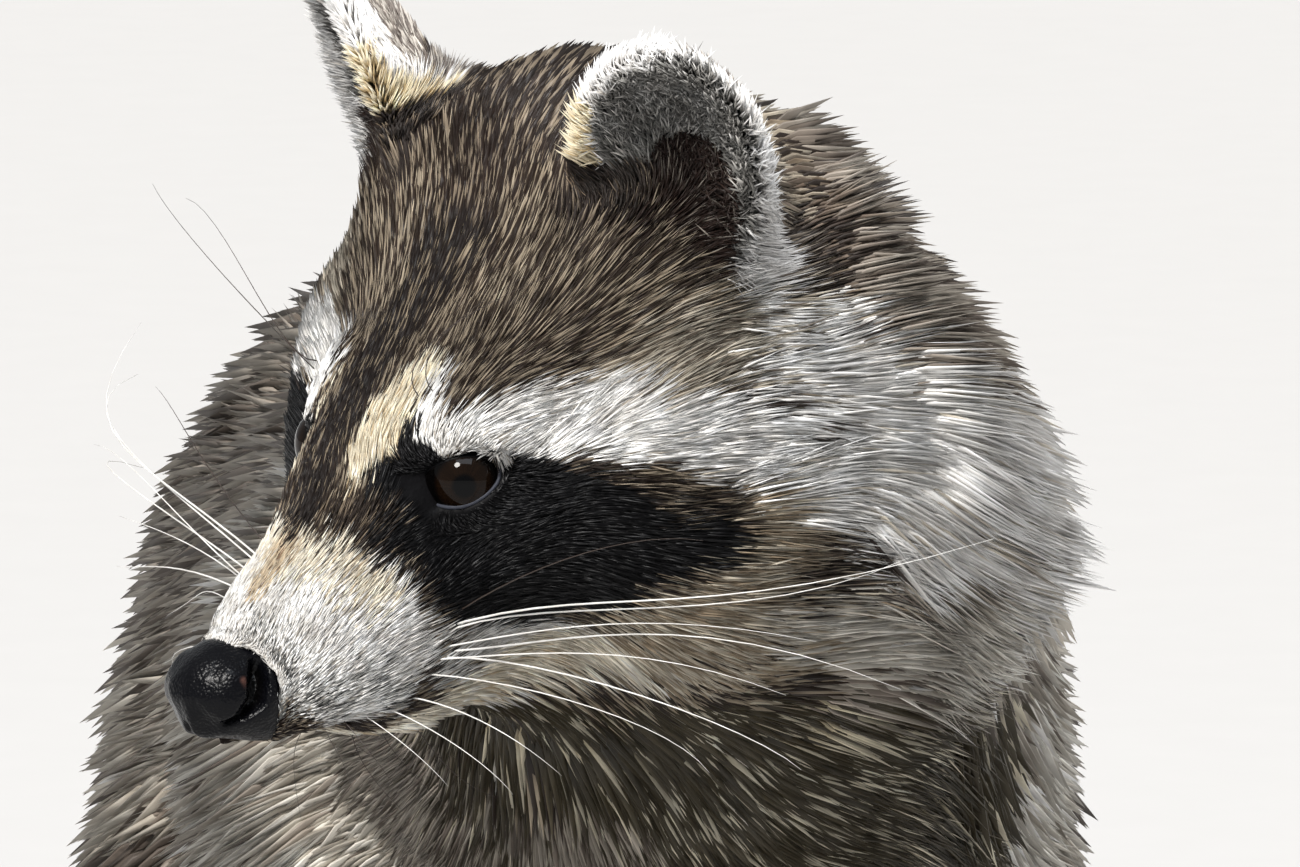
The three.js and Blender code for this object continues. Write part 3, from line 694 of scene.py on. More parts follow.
# Markings: a fur's name, how soft its edge is in mm, and where it lies, as a line of balls (f, distance from
# the midline, u, radius) in the head's axes. A later marking covers an earlier one.
MARKINGS = (
    ("crown", 8, ((-24, 0, 28, 9), (-40, 0, 40, 14), (-62, 0, 44, 18), (-85, 0, 34, 20))),
    ("crown", 6, ((-36, 24, 32, 9), (-50, 20, 38, 10))),
    ("temple", 7, ((-16, 36, 9, 4), (-24, 43, 8, 8), (-40, 48, 10, 9), (-50, 54, 4, 8))),
    ("nape", 7, ((-56, 46, 18, 7), (-70, 44, 8, 12), (-88, 47, -2, 11), (-104, 50, -14, 10))),
    ("tan", 7, ((14, 26, -30, 4), (2, 36, -35, 7), (-12, 48, -40, 9), (-30, 58, -46, 9))),
    ("tan", 6, ((-4, 46, -27, 8), (-12, 56, -27, 9), (-22, 61, -20, 8), (-28, 62, -13, 7))),
    ("throat", 8, (
        (4, 8, -44, 6), (-8, 8, -64, 16), (-18, 36, -60, 13), (-36, 26, -86, 33), (-60, 14, -116, 36))),
    ("greyish", 8, ((-22, 60, -40, 6), (-40, 62, -56, 10), (-62, 62, -66, 15), (-90, 60, -80, 22))),
    ("greyish", 8, ((-76, 60, -44, 16), (-96, 58, -46, 22), (-110, 54, -60, 26))),
    ("white", 7, (
        (-40, 55, 4, 5), (-49, 60, -5, 12), (-56, 65, -20, 17), (-66, 66, -34, 20), (-78, 66, -40, 20),
        (-86, 64, -60, 20), (-90, 62, -84, 18))),
    ("white", 6, ((-24, 56, -3, 6), (-32, 61, -10, 8.5), (-44, 66, -22, 12), (-46, 66, -36, 10))),
    ("white", 4, ((-43, 46, 19, 3), (-46, 52, 14, 5))),
    ("temple", 6, ((-78, 22, 30, 6), (-72, 32, 26, 7), (-66, 42, 20, 6))),
    ("ear_hollow", 2, ((-50, 34, 33, 5), (-47, 38, 26, 7), (-44, 43.5, 19.5, 5))),
    ("muzzle", 2.4, ((38, 0, -8, 12.4), (35, 10, -12, 14), (33.5, 14, -15, 14.6))),
    ("muzzle", 4, ((20, 19, -24, 6), (8, 25, -29, 5), (0, 30, -33, 3.5))),
    ("muzzle", 4, ((36, 0, -34, 6), (22, 0, -37, 7), (10, 10, -40, 7))),
    ("muzzle_cream", 5, ((31, 0, -1, 4), (28, 10, -2, 5), (26, 16, -7, 4))),
    ("bridge", 3, ((36, 0, -2.5, 1.6), (30, 0, 0.5, 2.6))),
    ("brow", 2.4, (
        (-3, 12, 16, 2), (1.5, 13.4, 13, 2.6), (3, 17, 9, 3.8), (-2, 22.5, 7.4, 6), (-9, 29, 6.5, 7.2),
        (-14, 38, 4.5, 7.2), (-20, 48, 0, 6.8), (-26, 57, -5, 6))),
    ("dusk", 2.6, ((23.5, 0, 2.5, 3.4), (22, 6, 3.5, 3.6), (21, 11, 1, 3.8), (20, 15, -2.5, 3.4))),
    ("cream", 1.6, (
        (19, 7.3, 5.2, 0.8), (16, 7.4, 7.3, 2), (13, 7.2, 9.3, 2.9), (9.5, 7.5, 10.8, 3.3),
        (6.5, 7.5, 12.8, 3.5), (3.5, 7.8, 14.3, 3.3), (-0.5, 8, 15.6, 2.9), (-4, 9.5, 16.5, 1.4))),
    ("brow", 1.2, ((6, 14.5, 9, 1.6), (3.5, 15.5, 8, 2.8), (0.5, 18, 7.2, 3.4), (-3, 22, 6, 4))),
    ("mask", 1.6, (
        (14, 12.0, 5.2, 3.4), (9.5, 13.6, 4.6, 4.6), (5, 17.6, 0.6, 4.6), (-2, 28, -4.0, 4.6),
        (-8, 39, -6.6, 5), (-13, 50, -10, 4.4))),
    ("mask", 2.6, (
        (19, 15.5, -3, 3.8), (16, 19, -7, 5.8), (13, 22, -12.5, 7.4), (5, 27, -18.5, 9),
        (-1, 36, -17.5, 8.4), (-6, 44, -15.5, 7.8), (-10, 50, -15, 6.8), (-14, 56, -16, 4.8))),
    ("mask", 2, ((12, 17, -3, 4.6), (6, 23, -6.5, 6.4), (-2, 33, -10, 7), (-8, 44, -11.5, 6.6))),
    ("mask", 1.4, ((9, 13, 8.2, 2), (5, 12.2, 11.8, 1), (3, 12.2, 13.4, 0.4))),
    ("stripe", 1.8, (
        (25, 0, 1.5, 3.2), (20, 0, 5, 4.4), (14, 0, 9.5, 3.9), (8, 0, 13, 3.2), (1, 0, 16, 3),
        (-6, 0, 18.5, 3.4), (-20, 0, 25, 8))),
    ("muzzle_grey", 3.5, ((48, 10, -18, 3.2), (40, 13, -21, 4), (30, 16, -24, 3.8), (20, 19, -27, 2.6))),
    ("muzzle_grey", 2.5, ((43, 6, -4.5, 1.6), (44, 12, -10, 1.8))),
    ("muzzle_cream", 3, (
        (44, 0, -31, 4), (34, 3, -36, 7), (24, 10, -38, 8), (12, 18, -39, 9), (0, 27, -38, 8),
        (-10, 36, -39, 5))),
    ("lip", 2.0, ((50, 3, -24, 2.0), (40, 9, -26.5, 2.0), (28, 13, -29.5, 1.8), (16, 16, -33, 1.2))),
    ("lip", 2.0, ((45, 9, -9, 0.8), (44, 12, -16, 1.2), (44, 11, -21, 1.6))),
)


def off_centre(mm):
    """Distance from the stripe between the eyes, which runs a little to the animal's right."""
    f, l = mm[:, 0], mm[:, 1]
    shift = 2.4  # mm where it is most, between the brows
    middle = -shift * ease(f, -30, 6) * (1 - ease(f, 8, 24)) * (1 - ease(-l, 8, 16)) * (1 - ease(l, 4, 12))
    return np.maximum(np.abs(l - middle) + middle, 0)


def reach(places, line):
    """How far places lie outside a line of balls: negative inside."""
    best = np.full(len(places), np.inf)
    spots = np.array(line, float)
    for a, b in zip(spots, spots[1:]):
        ab = b[:3] - a[:3]
        t = np.clip((places - a[:3]) @ ab / max(ab @ ab, 1e-9), 0, 1)
        away = np.linalg.norm(places - a[:3] - t[:, None] * ab, axis=1) - (a[3] + (b[3] - a[3]) * t)
        best = np.minimum(best, away)
    return best


def body_zones(places, labels, normals, rng=None):
    """The name of each place's fur away from the head's own markings; with rng, hairs mix across edges."""
    furs = np.full(len(places), "back", dtype=object)
    x, y, z = places.T / MM
    # heights, and places along and across the row frame, in mm
    belly_top, chest_top, chest_back, throat_back = 145, 215, -185, -200
    throat_middle, throat_half = 6, 48
    drift = waves(places, 0.05, 5)[:, 0] * 9
    spread = drift if rng is None else drift + rng.normal(size=len(places)) * 24
    trunk = labels == "trunk"
    furs[trunk & (z < belly_top + spread)] = "belly"
    furs[trunk & (y < chest_back + 1.5 * spread) & (z < chest_top + spread)] = "greyish"
    throat = trunk & (normals[:, 1] < -0.45) & (y < throat_back)
    furs[throat & (np.abs(x - throat_middle) < throat_half + drift)] = "throat"
    furs[np.isin(labels, ("foreleg", "hindleg"))] = "leg"
    furs[np.isin(labels, ("forepaw", "hindpaw"))] = "paw"
    furs[labels == "neck"] = "back"
    furs[np.isin(labels, ("head", "lower_jaw"))] = "grizzled"
    tail = np.isin(labels, ("tail_root", "tail_end"))
    rings = along_tail(places) + waves(places, 0.03, 6)[:, 0] * 0.04
    furs[tail] = np.where(rings[tail] % 1 < 0.5, "tail_pale", "tail_dark")
    furs[tail & (rings < 0.35)] = "back"
    furs[tail & (rings > TAIL_RINGS - 0.4)] = "tail_dark"
    return furs


def along_tail(places):
    """How many rings down the tail each place lies."""
    root, end = middle_of("tail_root"), middle_of("tail_end")
    low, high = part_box("tail_end")
    tip = np.array([high[0], high[1], low[2]])
    start = 2 * root - end
    start[1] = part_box("tail_root")[0][1]
    total, best, seen = 0.0, np.full(len(places), np.inf), np.zeros(len(places))
    spine = [start, root, end, tip]
    for a, b in zip(spine, spine[1:]):
        ab = b - a
        t = np.clip((places - a) @ ab / (ab @ ab), 0, 1)
        away = np.linalg.norm(places - a - t[:, None] * ab, axis=1)
        nearer = away < best
        seen[nearer] = total + t[nearer] * np.linalg.norm(ab)
        best = np.minimum(best, away)
        total += np.linalg.norm(ab)
    return seen / total * TAIL_RINGS


def ear_places(places):
    """Where places lie across and up their ear in mm, the way it faces, and what mirrors its side."""
    mm = HEAD.inside(places)
    side = np.where(mm[:, 1] > 0, 1.0, -1.0)
    flip = np.stack([np.ones(len(mm)), side, np.ones(len(mm))], 1)
    flat = mm * flip - np.array(EAR_BASE)
    front = HEAD.turned(np.array(EAR_FRONT) * flip)
    return flat @ np.array(EAR_ACROSS), flat @ np.array(EAR_UP), front, flip


class EarRim:
    """How near a place lies to its ear's edge, seen from the front."""

    MIDDLE = 12.0  # mm up the ear, where the edge is looked at from
    BINS = 48  # ways from there in which the edge is kept

    def __init__(self):
        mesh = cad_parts["ear_left"].data
        points = np.array([v.co for v in mesh.vertices])
        across, up, _, _ = ear_places(points)
        self.middle = (across.max() + across.min()) / 2
        out = np.hypot(across - self.middle, up - self.MIDDLE)
        spot = self.spots(across, up)
        self.edge = np.zeros(self.BINS)
        np.maximum.at(self.edge, spot.astype(int) % self.BINS, out)
        for _ in range(3):
            near = np.maximum(np.roll(self.edge, 1), np.roll(self.edge, -1))
            self.edge = np.where(self.edge < near * 0.8, near * 0.95, self.edge)
        self.edge = (np.roll(self.edge, 1) + 2 * self.edge + np.roll(self.edge, -1)) / 4

    def spots(self, across, up):
        return (np.arctan2(up - self.MIDDLE, across - self.middle) / (2 * math.pi) % 1) * self.BINS

    def inset(self, across, up):
        """Distance in mm inward from the edge."""
        spot = self.spots(across, up)
        low = spot.astype(int) % self.BINS
        part = spot - spot.astype(int)
        edge = self.edge[low] * (1 - part) + self.edge[(low + 1) % self.BINS] * part
        return edge - np.hypot(across - self.middle, up - self.MIDDLE)


def ear_furs(furs, places, labels, normals):
    """Puts the ears' furs in place, by mm from the ear's edge and base and by which way the skin faces."""
    ear = np.where(labels == "ear")[0]
    if not len(ear):
        return
    rim = made.setdefault("rim", EarRim())
    across, up, front, _ = ear_places(places[ear])
    inset = rim.inset(across, up) + waves(places[ear], 0.006, 9)[:, 0] * 0.5
    facing = np.einsum("ij,ij->i", unit(front), normals[ear])
    aside = across - rim.middle
    names = np.full(len(ear), "ear_back", dtype=object)
    names[(facing < 0.1) & (inset < 3)] = "ear_white"
    names[facing > 0.1] = "ear_grey"
    names[(facing > 0.1) & (np.hypot((across - 4) / 9.5, (up - 3.5) / 11.5) < 1)] = "ear_hollow"
    names[(inset < 1.3 + 0.5 * (aside > 4)) & (facing > -0.3)] = "ear_white"
    names[(HEAD.inside(places[ear])[:, 1] < 0) & (inset < 6.5) & (facing > 0.1)] = "ear_white"
    names[(aside < -4) & (inset < 4) & (up > 5) & (facing > -0.3)] = "ear_white"
    names[(aside < -6) & (inset < 3.4) & (up < 20) & (facing > -0.2)] = "ear_cream"
    names[(aside < -5) & (up < 8) & (facing > -0.5)] = "ear_black"
    furs[ear] = names


def furs_at(places, labels, normals, rng=None):
    """The name of each place's fur; with rng, hairs mix across soft edges."""
    mm = HEAD.inside(places)
    furs = body_zones(places, labels, normals, rng)
    ear_furs(furs, places, labels, normals)
    near = np.linalg.norm(mm, axis=1) < HEAD_REACH
    near &= np.isin(labels, ("head", "lower_jaw", "neck", "trunk"))
    index = np.where(near)[0]
    flat = mm[index]
    flat[:, 1] = off_centre(flat)
    wobble = waves(places[index], 0.012, 7)[:, 0] * 0.5
    names = furs[index]
    for name, soft, line in MARKINGS:
        away = reach(flat, line) + wobble * min(soft, 3)
        threshold = 0.0 if rng is None else (rng.random(len(index)) - 0.5) * 1.3 * soft
        names[away < threshold] = name
    furs[index] = names
    return furs


FUR_ORDER = {name: k for k, name in enumerate(FURS)}
FUR_TABLE = np.array([
    [*f.root, *f.mid, *f.tip, f.fleck, *f.fleck_mid, *f.fleck_tip] for f in FURS.values()])
ROOT, MID, TIP, FLECK = slice(0, 3), slice(3, 6), slice(6, 9), 9
FLECK_MID, FLECK_TIP = slice(10, 13), slice(13, 16)


def fur_rows(names):
    """The rows of the furs' table for these names."""
    return FUR_TABLE[np.array([FUR_ORDER[name] for name in names])]


# ---------------------------------------------------------------- the eyes' opening
class Eye:
    """One eye: its ball, the way it looks, and the opening of its lids, in the row frame."""

    # the left eye in the head's axes: its middle in mm, and the ways out of the opening's middle, to the
    # opening's outer corner, and of its look
    CENTRE = (0.76, 15.46, -2.15)
    AXIS = (0.676, 0.567, 0.471)
    OUTER = (-0.825, 0.530, 0.195)
    GAZE = (0.60, 0.74, 0.31)
    # distances from the middle in metres: how far the lids' hairs reach, where the socket's fit starts to
    # fade, and where it ends
    LIDS, FADE, SOCKET = 0.014, 0.0125, 0.019
    # how far the skin stands over the ball at the least and at the most by the lids, and lies behind the
    # ball's front in the opening, in metres
    CLOSE, LOOSE, BEHIND = 0.0004, 0.0006, 0.0016

    def __init__(self, settings, side):
        self.radius = settings.radius
        self.centre = HEAD.outside(mirrored(self.CENTRE, side))
        self.axis = unit(HEAD.turned(mirrored(self.AXIS, side)))
        self.gaze = unit(HEAD.turned(mirrored(self.GAZE, side)))
        outer = HEAD.turned(mirrored(self.OUTER, side))
        self.outer = unit(outer - self.axis * (outer @ self.axis))
        self.up = unit(np.cross(self.axis, self.outer)) * side
        self.wide, self.high, self.slant = settings.wide, settings.high, settings.slant

    def outline(self, turn_angle):
        """The opening's half angle on the ball, towards each angle around the axis from the outer corner."""
        t = np.asarray(turn_angle) + self.slant
        edge = 1 / np.sqrt((np.cos(t) / self.wide) ** 2 + (np.sin(t) / self.high) ** 2)
        inner = np.maximum(np.cos(t + math.pi), 0) ** 6
        outer = np.maximum(np.cos(t), 0) ** 8
        return edge * (1 + 0.16 * inner + 0.16 * outer) * (1 - 0.2 * np.maximum(np.sin(turn_angle), 0))

    def polar(self, ways):
        """Angles from the axis and around it, of unit vectors from the centre."""
        x, y, z = ways @ self.outer, ways @ self.up, ways @ self.axis
        return np.arctan2(np.hypot(x, y), z), np.arctan2(y, x)

    def way(self, angle, turn_angle):
        side = np.cos(turn_angle)[..., None] * self.outer + np.sin(turn_angle)[..., None] * self.up
        return np.cos(angle)[..., None] * self.axis + np.sin(angle)[..., None] * side

    def fitted(self, places):
        """Places near the eye drawn over the ball, or behind it in the opening."""
        offset = places - self.centre
        distance = np.linalg.norm(offset, axis=1)
        index = np.where(distance < self.SOCKET)[0]
        angle, around = self.polar(unit(offset[index]))
        distance = distance[index]
        fade = 1 - ease(distance, self.FADE, self.SOCKET)
        edge = self.edge_of(angle, around)
        angle -= np.clip(edge - self.outline(around), 0, 0.4) * (1 - ease(angle - edge, 0, 0.8)) * fade
        ways = self.way(angle, around)
        gap = (angle - self.outline(around)) * self.radius
        skin = np.maximum(gap, 0)
        above = ease(np.sin(around), -0.2, 0.5)
        bulge = above * np.minimum(0.85 * skin, 0.0025)
        low = self.radius + self.CLOSE + bulge - (1 - above) * 55 * skin ** 2
        high = self.radius + self.LOOSE + (0.62 + above * 0.3) * skin
        front = ease(np.cos(angle), -0.35, 0.1)
        lifted = np.minimum(np.maximum(distance, low), high)
        inside = ease(-gap, -0.0007, 0.0003)
        lifted = lifted * (1 - inside) + (self.radius - self.BEHIND) * inside
        out = places.copy()
        out[index] = self.centre + ways * (distance + (lifted - distance) * front * fade)[:, None]
        return out

    @staticmethod
    def edge_of(angle, around, sectors=40):
        """How near to the axis the skin itself comes, towards each angle around it."""
        spot = around / (2 * math.pi) % 1 * sectors
        nearest = np.full(sectors, math.pi)
        np.minimum.at(nearest, spot.astype(int) % sectors, angle)
        # sectors that no point of the skin falls in take their neighbours' angle
        for _ in range(4):
            beside = np.minimum(np.roll(nearest, 1), np.roll(nearest, -1))
            nearest = np.where(nearest > 3, beside, nearest)
        nearest = (np.roll(nearest, 1) + 2 * nearest + np.roll(nearest, -1)) / 4
        low = np.floor(spot - 0.5)
        part = spot - 0.5 - low
        low = low.astype(int)
        return nearest[low % sectors] * (1 - part) + nearest[(low + 1) % sectors] * part

    def bareness(self, places):
        """1 in the opening and on the lids, 0 where the coat starts."""
        offset = places - self.centre
        distance = np.linalg.norm(offset, axis=1)
        angle, around = self.polar(unit(offset))
        gap = (angle - self.outline(around)) * self.radius
        lower = ease(-np.sin(around), -0.3, 0.4)
        return (1 - ease(gap, 0.0002 * lower, 0.0005 + 0.0005 * lower)) * (distance < self.LIDS)

    def parting(self, places):
        """How strongly the hairs near the lids are short and point away from the ball, and that direction."""
        offset = places - self.centre
        angle, around = self.polar(unit(offset))
        gap = (angle - self.outline(around)) * self.radius
        wide = 0.0022  # metres from the lids' edge
        near = np.exp(-((np.maximum(gap, 0) / wide) ** 2)) * (np.linalg.norm(offset, axis=1) < self.LIDS)
        return near[:, None], unit(offset - np.outer(offset @ self.axis, self.axis))


# ---------------------------------------------------------------- the skin
def nearest_labels(places):
    """The solid nearest each place, without its side."""
    points, faces, owners = [], [], []
    count = 0
    for node in FLESH:
        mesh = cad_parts[node].data
        points += [v.co.copy() for v in mesh.vertices]
        faces += [[count + i for i in p.vertices] for p in mesh.polygons]
        owners += [node.replace("_left", "").replace("_right", "")] * len(mesh.polygons)
        count += len(mesh.vertices)
    tree = BVHTree.FromPolygons(points, faces)
    return np.array([owners[tree.find_nearest(Vector(p))[2]] for p in places], dtype=object)


def plan(places, normals, labels):
    """The coat's fields and lie at each place."""
    mm = HEAD.inside(places)
    side = np.where(mm[:, 1] >= 0, 1.0, -1.0)
    flat = folded(mm)
    fields = np.zeros((len(places), len(FIELDS)))
    lie = np.zeros((len(places), 3))
    for name, spot in BODY_SPOTS.items():
        mine = labels == name
        fields[mine] = [getattr(spot, f) for f in FIELDS]
        lie[mine] = spot.lie
    head = np.isin(labels, ("head", "lower_jaw", "neck"))
    count = head.sum()
    total, sum_fields, sum_lie = np.zeros(count), np.zeros((count, len(FIELDS))), np.zeros((count, 3))
    for spot in HEAD_SPOTS:
        # a spot counts for less the farther it is, and evenly within about 3 mm
        away = np.linalg.norm(flat[head] - np.array(spot.place), axis=1)
        weight = 1 / (away ** 2 + 3 ** 2) ** 1.75
        total += weight
        sum_fields += weight[:, None] * np.array([getattr(spot, f) for f in FIELDS])
        forward, outward, upward = spot.lie
        ways = np.zeros((count, 3))
        ways[:, 0], ways[:, 1], ways[:, 2] = forward, outward * side[head], upward
        sum_lie += weight[:, None] * unit(ways)
    fields[head] = sum_fields / total[:, None]
    lie[head] = HEAD.turned(sum_lie / total[:, None])
    ear = labels == "ear"
    rim = made.setdefault("rim", EarRim())
    across, up, _, flip = ear_places(places[ear])
    outward = (across - rim.middle)[:, None] * np.array(EAR_ACROSS)
    outward += np.maximum(up - 4, 2)[:, None] * np.array(EAR_UP)
    lie[ear] = HEAD.turned(unit(outward) * flip)
    # longer along the ear's edge
    fields[ear, LENGTH] *= 1 + 0.25 * (1 - ease(rim.inset(across, up), 1.5, 4))
    # finer and denser on the shoulders, from 240 mm to 150 mm away from the eyes
    near = ease(0.24 - np.linalg.norm(places - HEAD.origin, axis=1), 0, 0.09)
    near *= np.isin(labels, ("trunk", "foreleg"))
    fields[:, WIDTH] *= 1 - 0.4 * near
    fields[:, DENSE] *= 1 + 2.4 * near
    return fields, lie


def ring_of_lids(eye, lid):
    """A closed rim of both lids round the opening, as points and faces."""
    steps = 96
    # mm along the ball away from the opening, and out from its surface against the lid's thickness
    section = ((-0.1, -0.25), (-0.26, 0.12), (-0.14, 0.4), (0.1, 0.52), (0.42, 0.44), (0.75, 0.1),
               (0.95, -0.5), (0.6, -1.1), (0.2, -0.8))
    around = np.linspace(0, 2 * math.pi, steps, endpoint=False)
    edge = eye.outline(around)
    thinner = 1 - 0.8 * ease(np.sin(around), -0.3, 0.5)  # the upper lid is the thinner
    rows = []
    for aside, out in section:
        angle = edge + aside * MM / eye.radius
        rise = eye.radius + out * lid * (thinner if out > 0 else 1.0)
        rows.append(eye.centre + eye.way(angle, around) * np.reshape(rise, (-1, 1)))
    points = np.stack(rows, 1).reshape(-1, 3)
    k = len(section)
    faces = [[i * k + j, i * k + (j + 1) % k, ((i + 1) % steps) * k + (j + 1) % k, ((i + 1) % steps) * k + j]
             for i in range(steps) for j in range(k)]
    return points, faces


class Dressed:
    """The skin as arrays that the coat's operators read."""

    def __init__(self, obj, outline, fields, lie, labels):
        self.places = places_of(obj)
        self.normals = normals_of(obj)
        self.triangles = triangles_of(obj)
        self.outline, self.fields, self.lie, self.labels = outline, fields, lie, labels
        self.tree = BVHTree.FromPolygons(self.places.tolist(), self.triangles.tolist())
        first, second, third = self.places[self.triangles].transpose(1, 0, 2)
        self.area = np.linalg.norm(np.cross(second - first, third - first), axis=1) / 2
        self.zones = zone_names(outline[self.triangles].mean(1), labels[self.triangles[:, 0]],
                                self.normals[self.triangles[:, 0]])


def zone_names(places, labels, normals):
    """Which piece of the coat each place belongs to."""
    mm = HEAD.inside(places)
    f, l, u = mm.T
    left = np.where(l >= 0, "left", "right").astype(object)
    names = np.full(len(places), "flanks", dtype=object)
    trunk = labels == "trunk"
    names[trunk & (normals[:, 2] > 0.35)] = "back"
    names[trunk & (places[:, 1] < -0.17)] = "chest"
    names[trunk & (places[:, 1] > 0.02)] = "rump"
    names[np.isin(labels, ("tail_root", "tail_end"))] = "tail"
    for leg in ("foreleg", "hindleg", "forepaw", "hindpaw"):
        names[labels == leg] = leg + "s"
    names[labels == "neck"] = "ruff_" + left[labels == "neck"]
    head = np.isin(labels, ("head", "lower_jaw"))
    names[head] = "cheek_" + left[head]
    crown = head & (f < 4) & (np.abs(l) < 34) & (u > 4)
    names[crown] = "crown"
    face = head & (f >= -12) & (f < 16) & ~crown
    names[face] = "face_" + left[face]
    names[head & (f >= 16)] = "muzzle"
    names[labels == "ear"] = "ear_" + left[labels == "ear"]
    return names


# The crest of the ruff behind the ears, as a marking's line.
RUFF = ((-78, 24, 28, 8), (-75, 42, 12, 10), (-73, 58, -14, 10), (-73, 64, -44, 9))
BARE = np.array([0.0045, 0.0042, 0.0048])  # the colour of bare skin
FLOOR = 0.0003  # metres: nothing of the skin lies lower


def fitted_head(outline):
    """The outline with a longer muzzle and a slimmer right side of the face than the solids have."""
    mm = HEAD.inside(outline)
    tip = ease(mm[:, 0], 32, 45) * ease(mm[:, 2], -75, -55)
    chin = ease(-mm[:, 2], 25.5, 29)
    forward = tip * (3.6 + 3.8 * ease(-mm[:, 2], 13, 22)) * (1 - chin) - 1.5 * tip * chin
    stretch = np.stack([forward, -0.09 * tip * mm[:, 1], -0.10 * tip * (mm[:, 2] + 16)], 1)
    outline = outline + HEAD.turned(stretch) * MM
    slim = ease(mm[:, 0], -34, -12) * (1 - ease(mm[:, 0], 27, 36)) * ease(-mm[:, 1], 5, 14)
    slim *= 1 - ease(mm[:, 2], 14, 26)
    inward = HEAD.turned(np.array([-0.6, 0.75, -0.25]))
    return outline + inward * (2.9 * slim * ease(mm[:, 2], -34, -18) * MM)[:, None]


def skin_of(settings, eye_settings):
    """The one skin: the solids joined, made fine round the face, and sunk by the coat's depth."""
    skin = merged_copies("skin", FLESH)
    apply(skin, "DISPLACE", strength=settings.swell, mid_level=0.0)
    apply(skin, "REMESH", mode="VOXEL", voxel_size=settings.voxel)
    keep_largest(skin)
    apply(skin, "SMOOTH", factor=0.6, iterations=6)
    # fewer faces behind the head and above the paws
    body = skin.vertex_groups.new(name="body")
    places = places_of(skin)
    plain = (HEAD.inside(places)[:, 0] < -75) & (places[:, 2] > 0.04)
    body.add(np.where(plain)[0].tolist(), 1.0, "REPLACE")
    apply(skin, "DECIMATE", ratio=settings.thinned, vertex_group="body", use_collapse_triangulate=True)
    skin.vertex_groups.clear()
    refine(skin, -34, 60)
    refine(skin, -8, 34)
    outline = fitted_head(places_of(skin))
    net = Net(skin)
    mm = HEAD.inside(outline)
    # the joints between the solids are evened out, less on the face and hardly on the toes
    above_toes = ease(outline[:, 2], 0.026, 0.045)
    coarse = 1 - ease(mm[:, 0], -60, -20)
    coarse *= above_toes
    outline = net.even(outline, 10, 0.1 + 0.25 * above_toes + 0.65 * coarse)
    labels = nearest_labels(outline)
    smooth = np.isin(labels, ("trunk", "neck", "tail_root", "tail_end", "hindleg"))
    outline = net.even(outline, 30, coarse * smooth)
    place(skin, outline)
    normals = unit(net.even(normals_of(skin), 6))
    flat = folded(mm)
    ruff = 1 - ease(reach(flat, RUFF), -4, 16)
    outline = outline + normals * (6.5 * ruff * np.isin(labels, ("neck", "trunk")) * MM)[:, None]
    fields, lie = plan(outline, normals, labels)
    fields = net.even(fields, 26, np.where(labels == "ear", 0.35, 1.0))
    pads = np.isin(labels, ("forepaw", "hindpaw")) * ease(-normals[:, 2], 0.45, 0.8)
    depth = fields[:, DEPTH] * MM * (1 - pads) - settings.toes * round_claws(outline)
    sunk = outline - normals * (depth + settings.swell)[:, None]
    sunk = net.even(sunk, 6, coarse)
    sunk[:, 2] = np.maximum(sunk[:, 2], FLOOR)
    # a fold between the lips
    jaw = net.even((labels == "lower_jaw").astype(float), 3)
    lips = np.exp(-(((jaw - 0.5) / 0.22) ** 2)) * ease(mm[:, 0], 2, 10)
    sunk -= normals * (lips * 0.0016)[:, None]
    sunk = round_nose(sunk, net)
    eyes = [Eye(eye_settings, side) for side in SIDES]
    for eye in eyes:
        sunk, outline = eye.fitted(sunk), eye.fitted(outline)
    place(skin, sunk)
    bare = np.maximum(*(eye.bareness(sunk) for eye in eyes))
    bare = np.maximum(bare, np.maximum(pads, lips * 0.9))
    lie = net.even(unit(along_skin(lie, normals)), 12)
    for eye in eyes:
        near, away = eye.parting(sunk)
        lie = lie * (1 - near) + away * near
        fields[:, [LENGTH, WIDTH]] *= 1 - np.array([0.62, 0.3]) * near
    lie = unit(along_skin(lie, normals))
    fields[:, DENSE] *= 1 - bare
    made["dressed"] = Dressed(skin, outline, fields, lie, labels)
    rows = fur_rows(furs_at(outline, labels, normals))
    colours = rows[:, ROOT] * 0.6 + rows[:, MID] * 0.4
    colours = colours * (1 - bare[:, None]) + BARE * bare[:, None]
    add_lids(skin, eyes, eye_settings, colours, bare)
    return skin


def round_claws(places):
    """1 on the toes' tips, round the claws' roots, and 0 from 7 mm away."""
    claws = np.concatenate([[v.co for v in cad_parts[node].data.vertices] for node in CLAWS])
    tree = tree_of(claws)
    near = np.zeros(len(places))
    for i in np.where(places[:, 2] < 0.02)[0]:
        near[i] = 1 - ease(tree.find(places[i])[2], 0.0025, 0.007)
    return near


def round_nose(places, net):
    """Fits the muzzle's end closely round the nose pad, which it meets a little behind the nostrils."""
    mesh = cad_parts["nose"].data
    nose = BVHTree.FromPolygons([v.co for v in mesh.vertices], [list(p.vertices) for p in mesh.polygons])
    mm = HEAD.inside(places)
    # in mm: how far forward the skin goes under the pad, and how deep in the pad a place may lie to be moved
    border = 47.2 + 2.6 * ease(-mm[:, 2], 11, 24)
    deepest = 4.5
    moved = places.copy()
    for i in np.where((mm[:, 0] > 40) & (mm[:, 0] < 60))[0]:
        spot, normal, _, _ = nose.find_nearest(Vector(places[i]))
        out = Vector(places[i]) - spot
        distance = math.copysign(out.length, out.dot(normal)) / MM
        if distance < -deepest:
            continue
        along = HEAD.inside([spot])[0][0]
        wanted = 0.5 - 1.3 * float(ease(along - border[i], -1.0, 1.2))
        near = float(ease(mm[i, 0], 40, 44)) * (1 - float(ease(distance, 0.8, 3.0)))
        moved[i] += np.array(normal) * (wanted - distance) * MM * near
    soft = ease(mm[:, 0], 39, 42)
    return net.even(moved, 2, soft * 0.5)


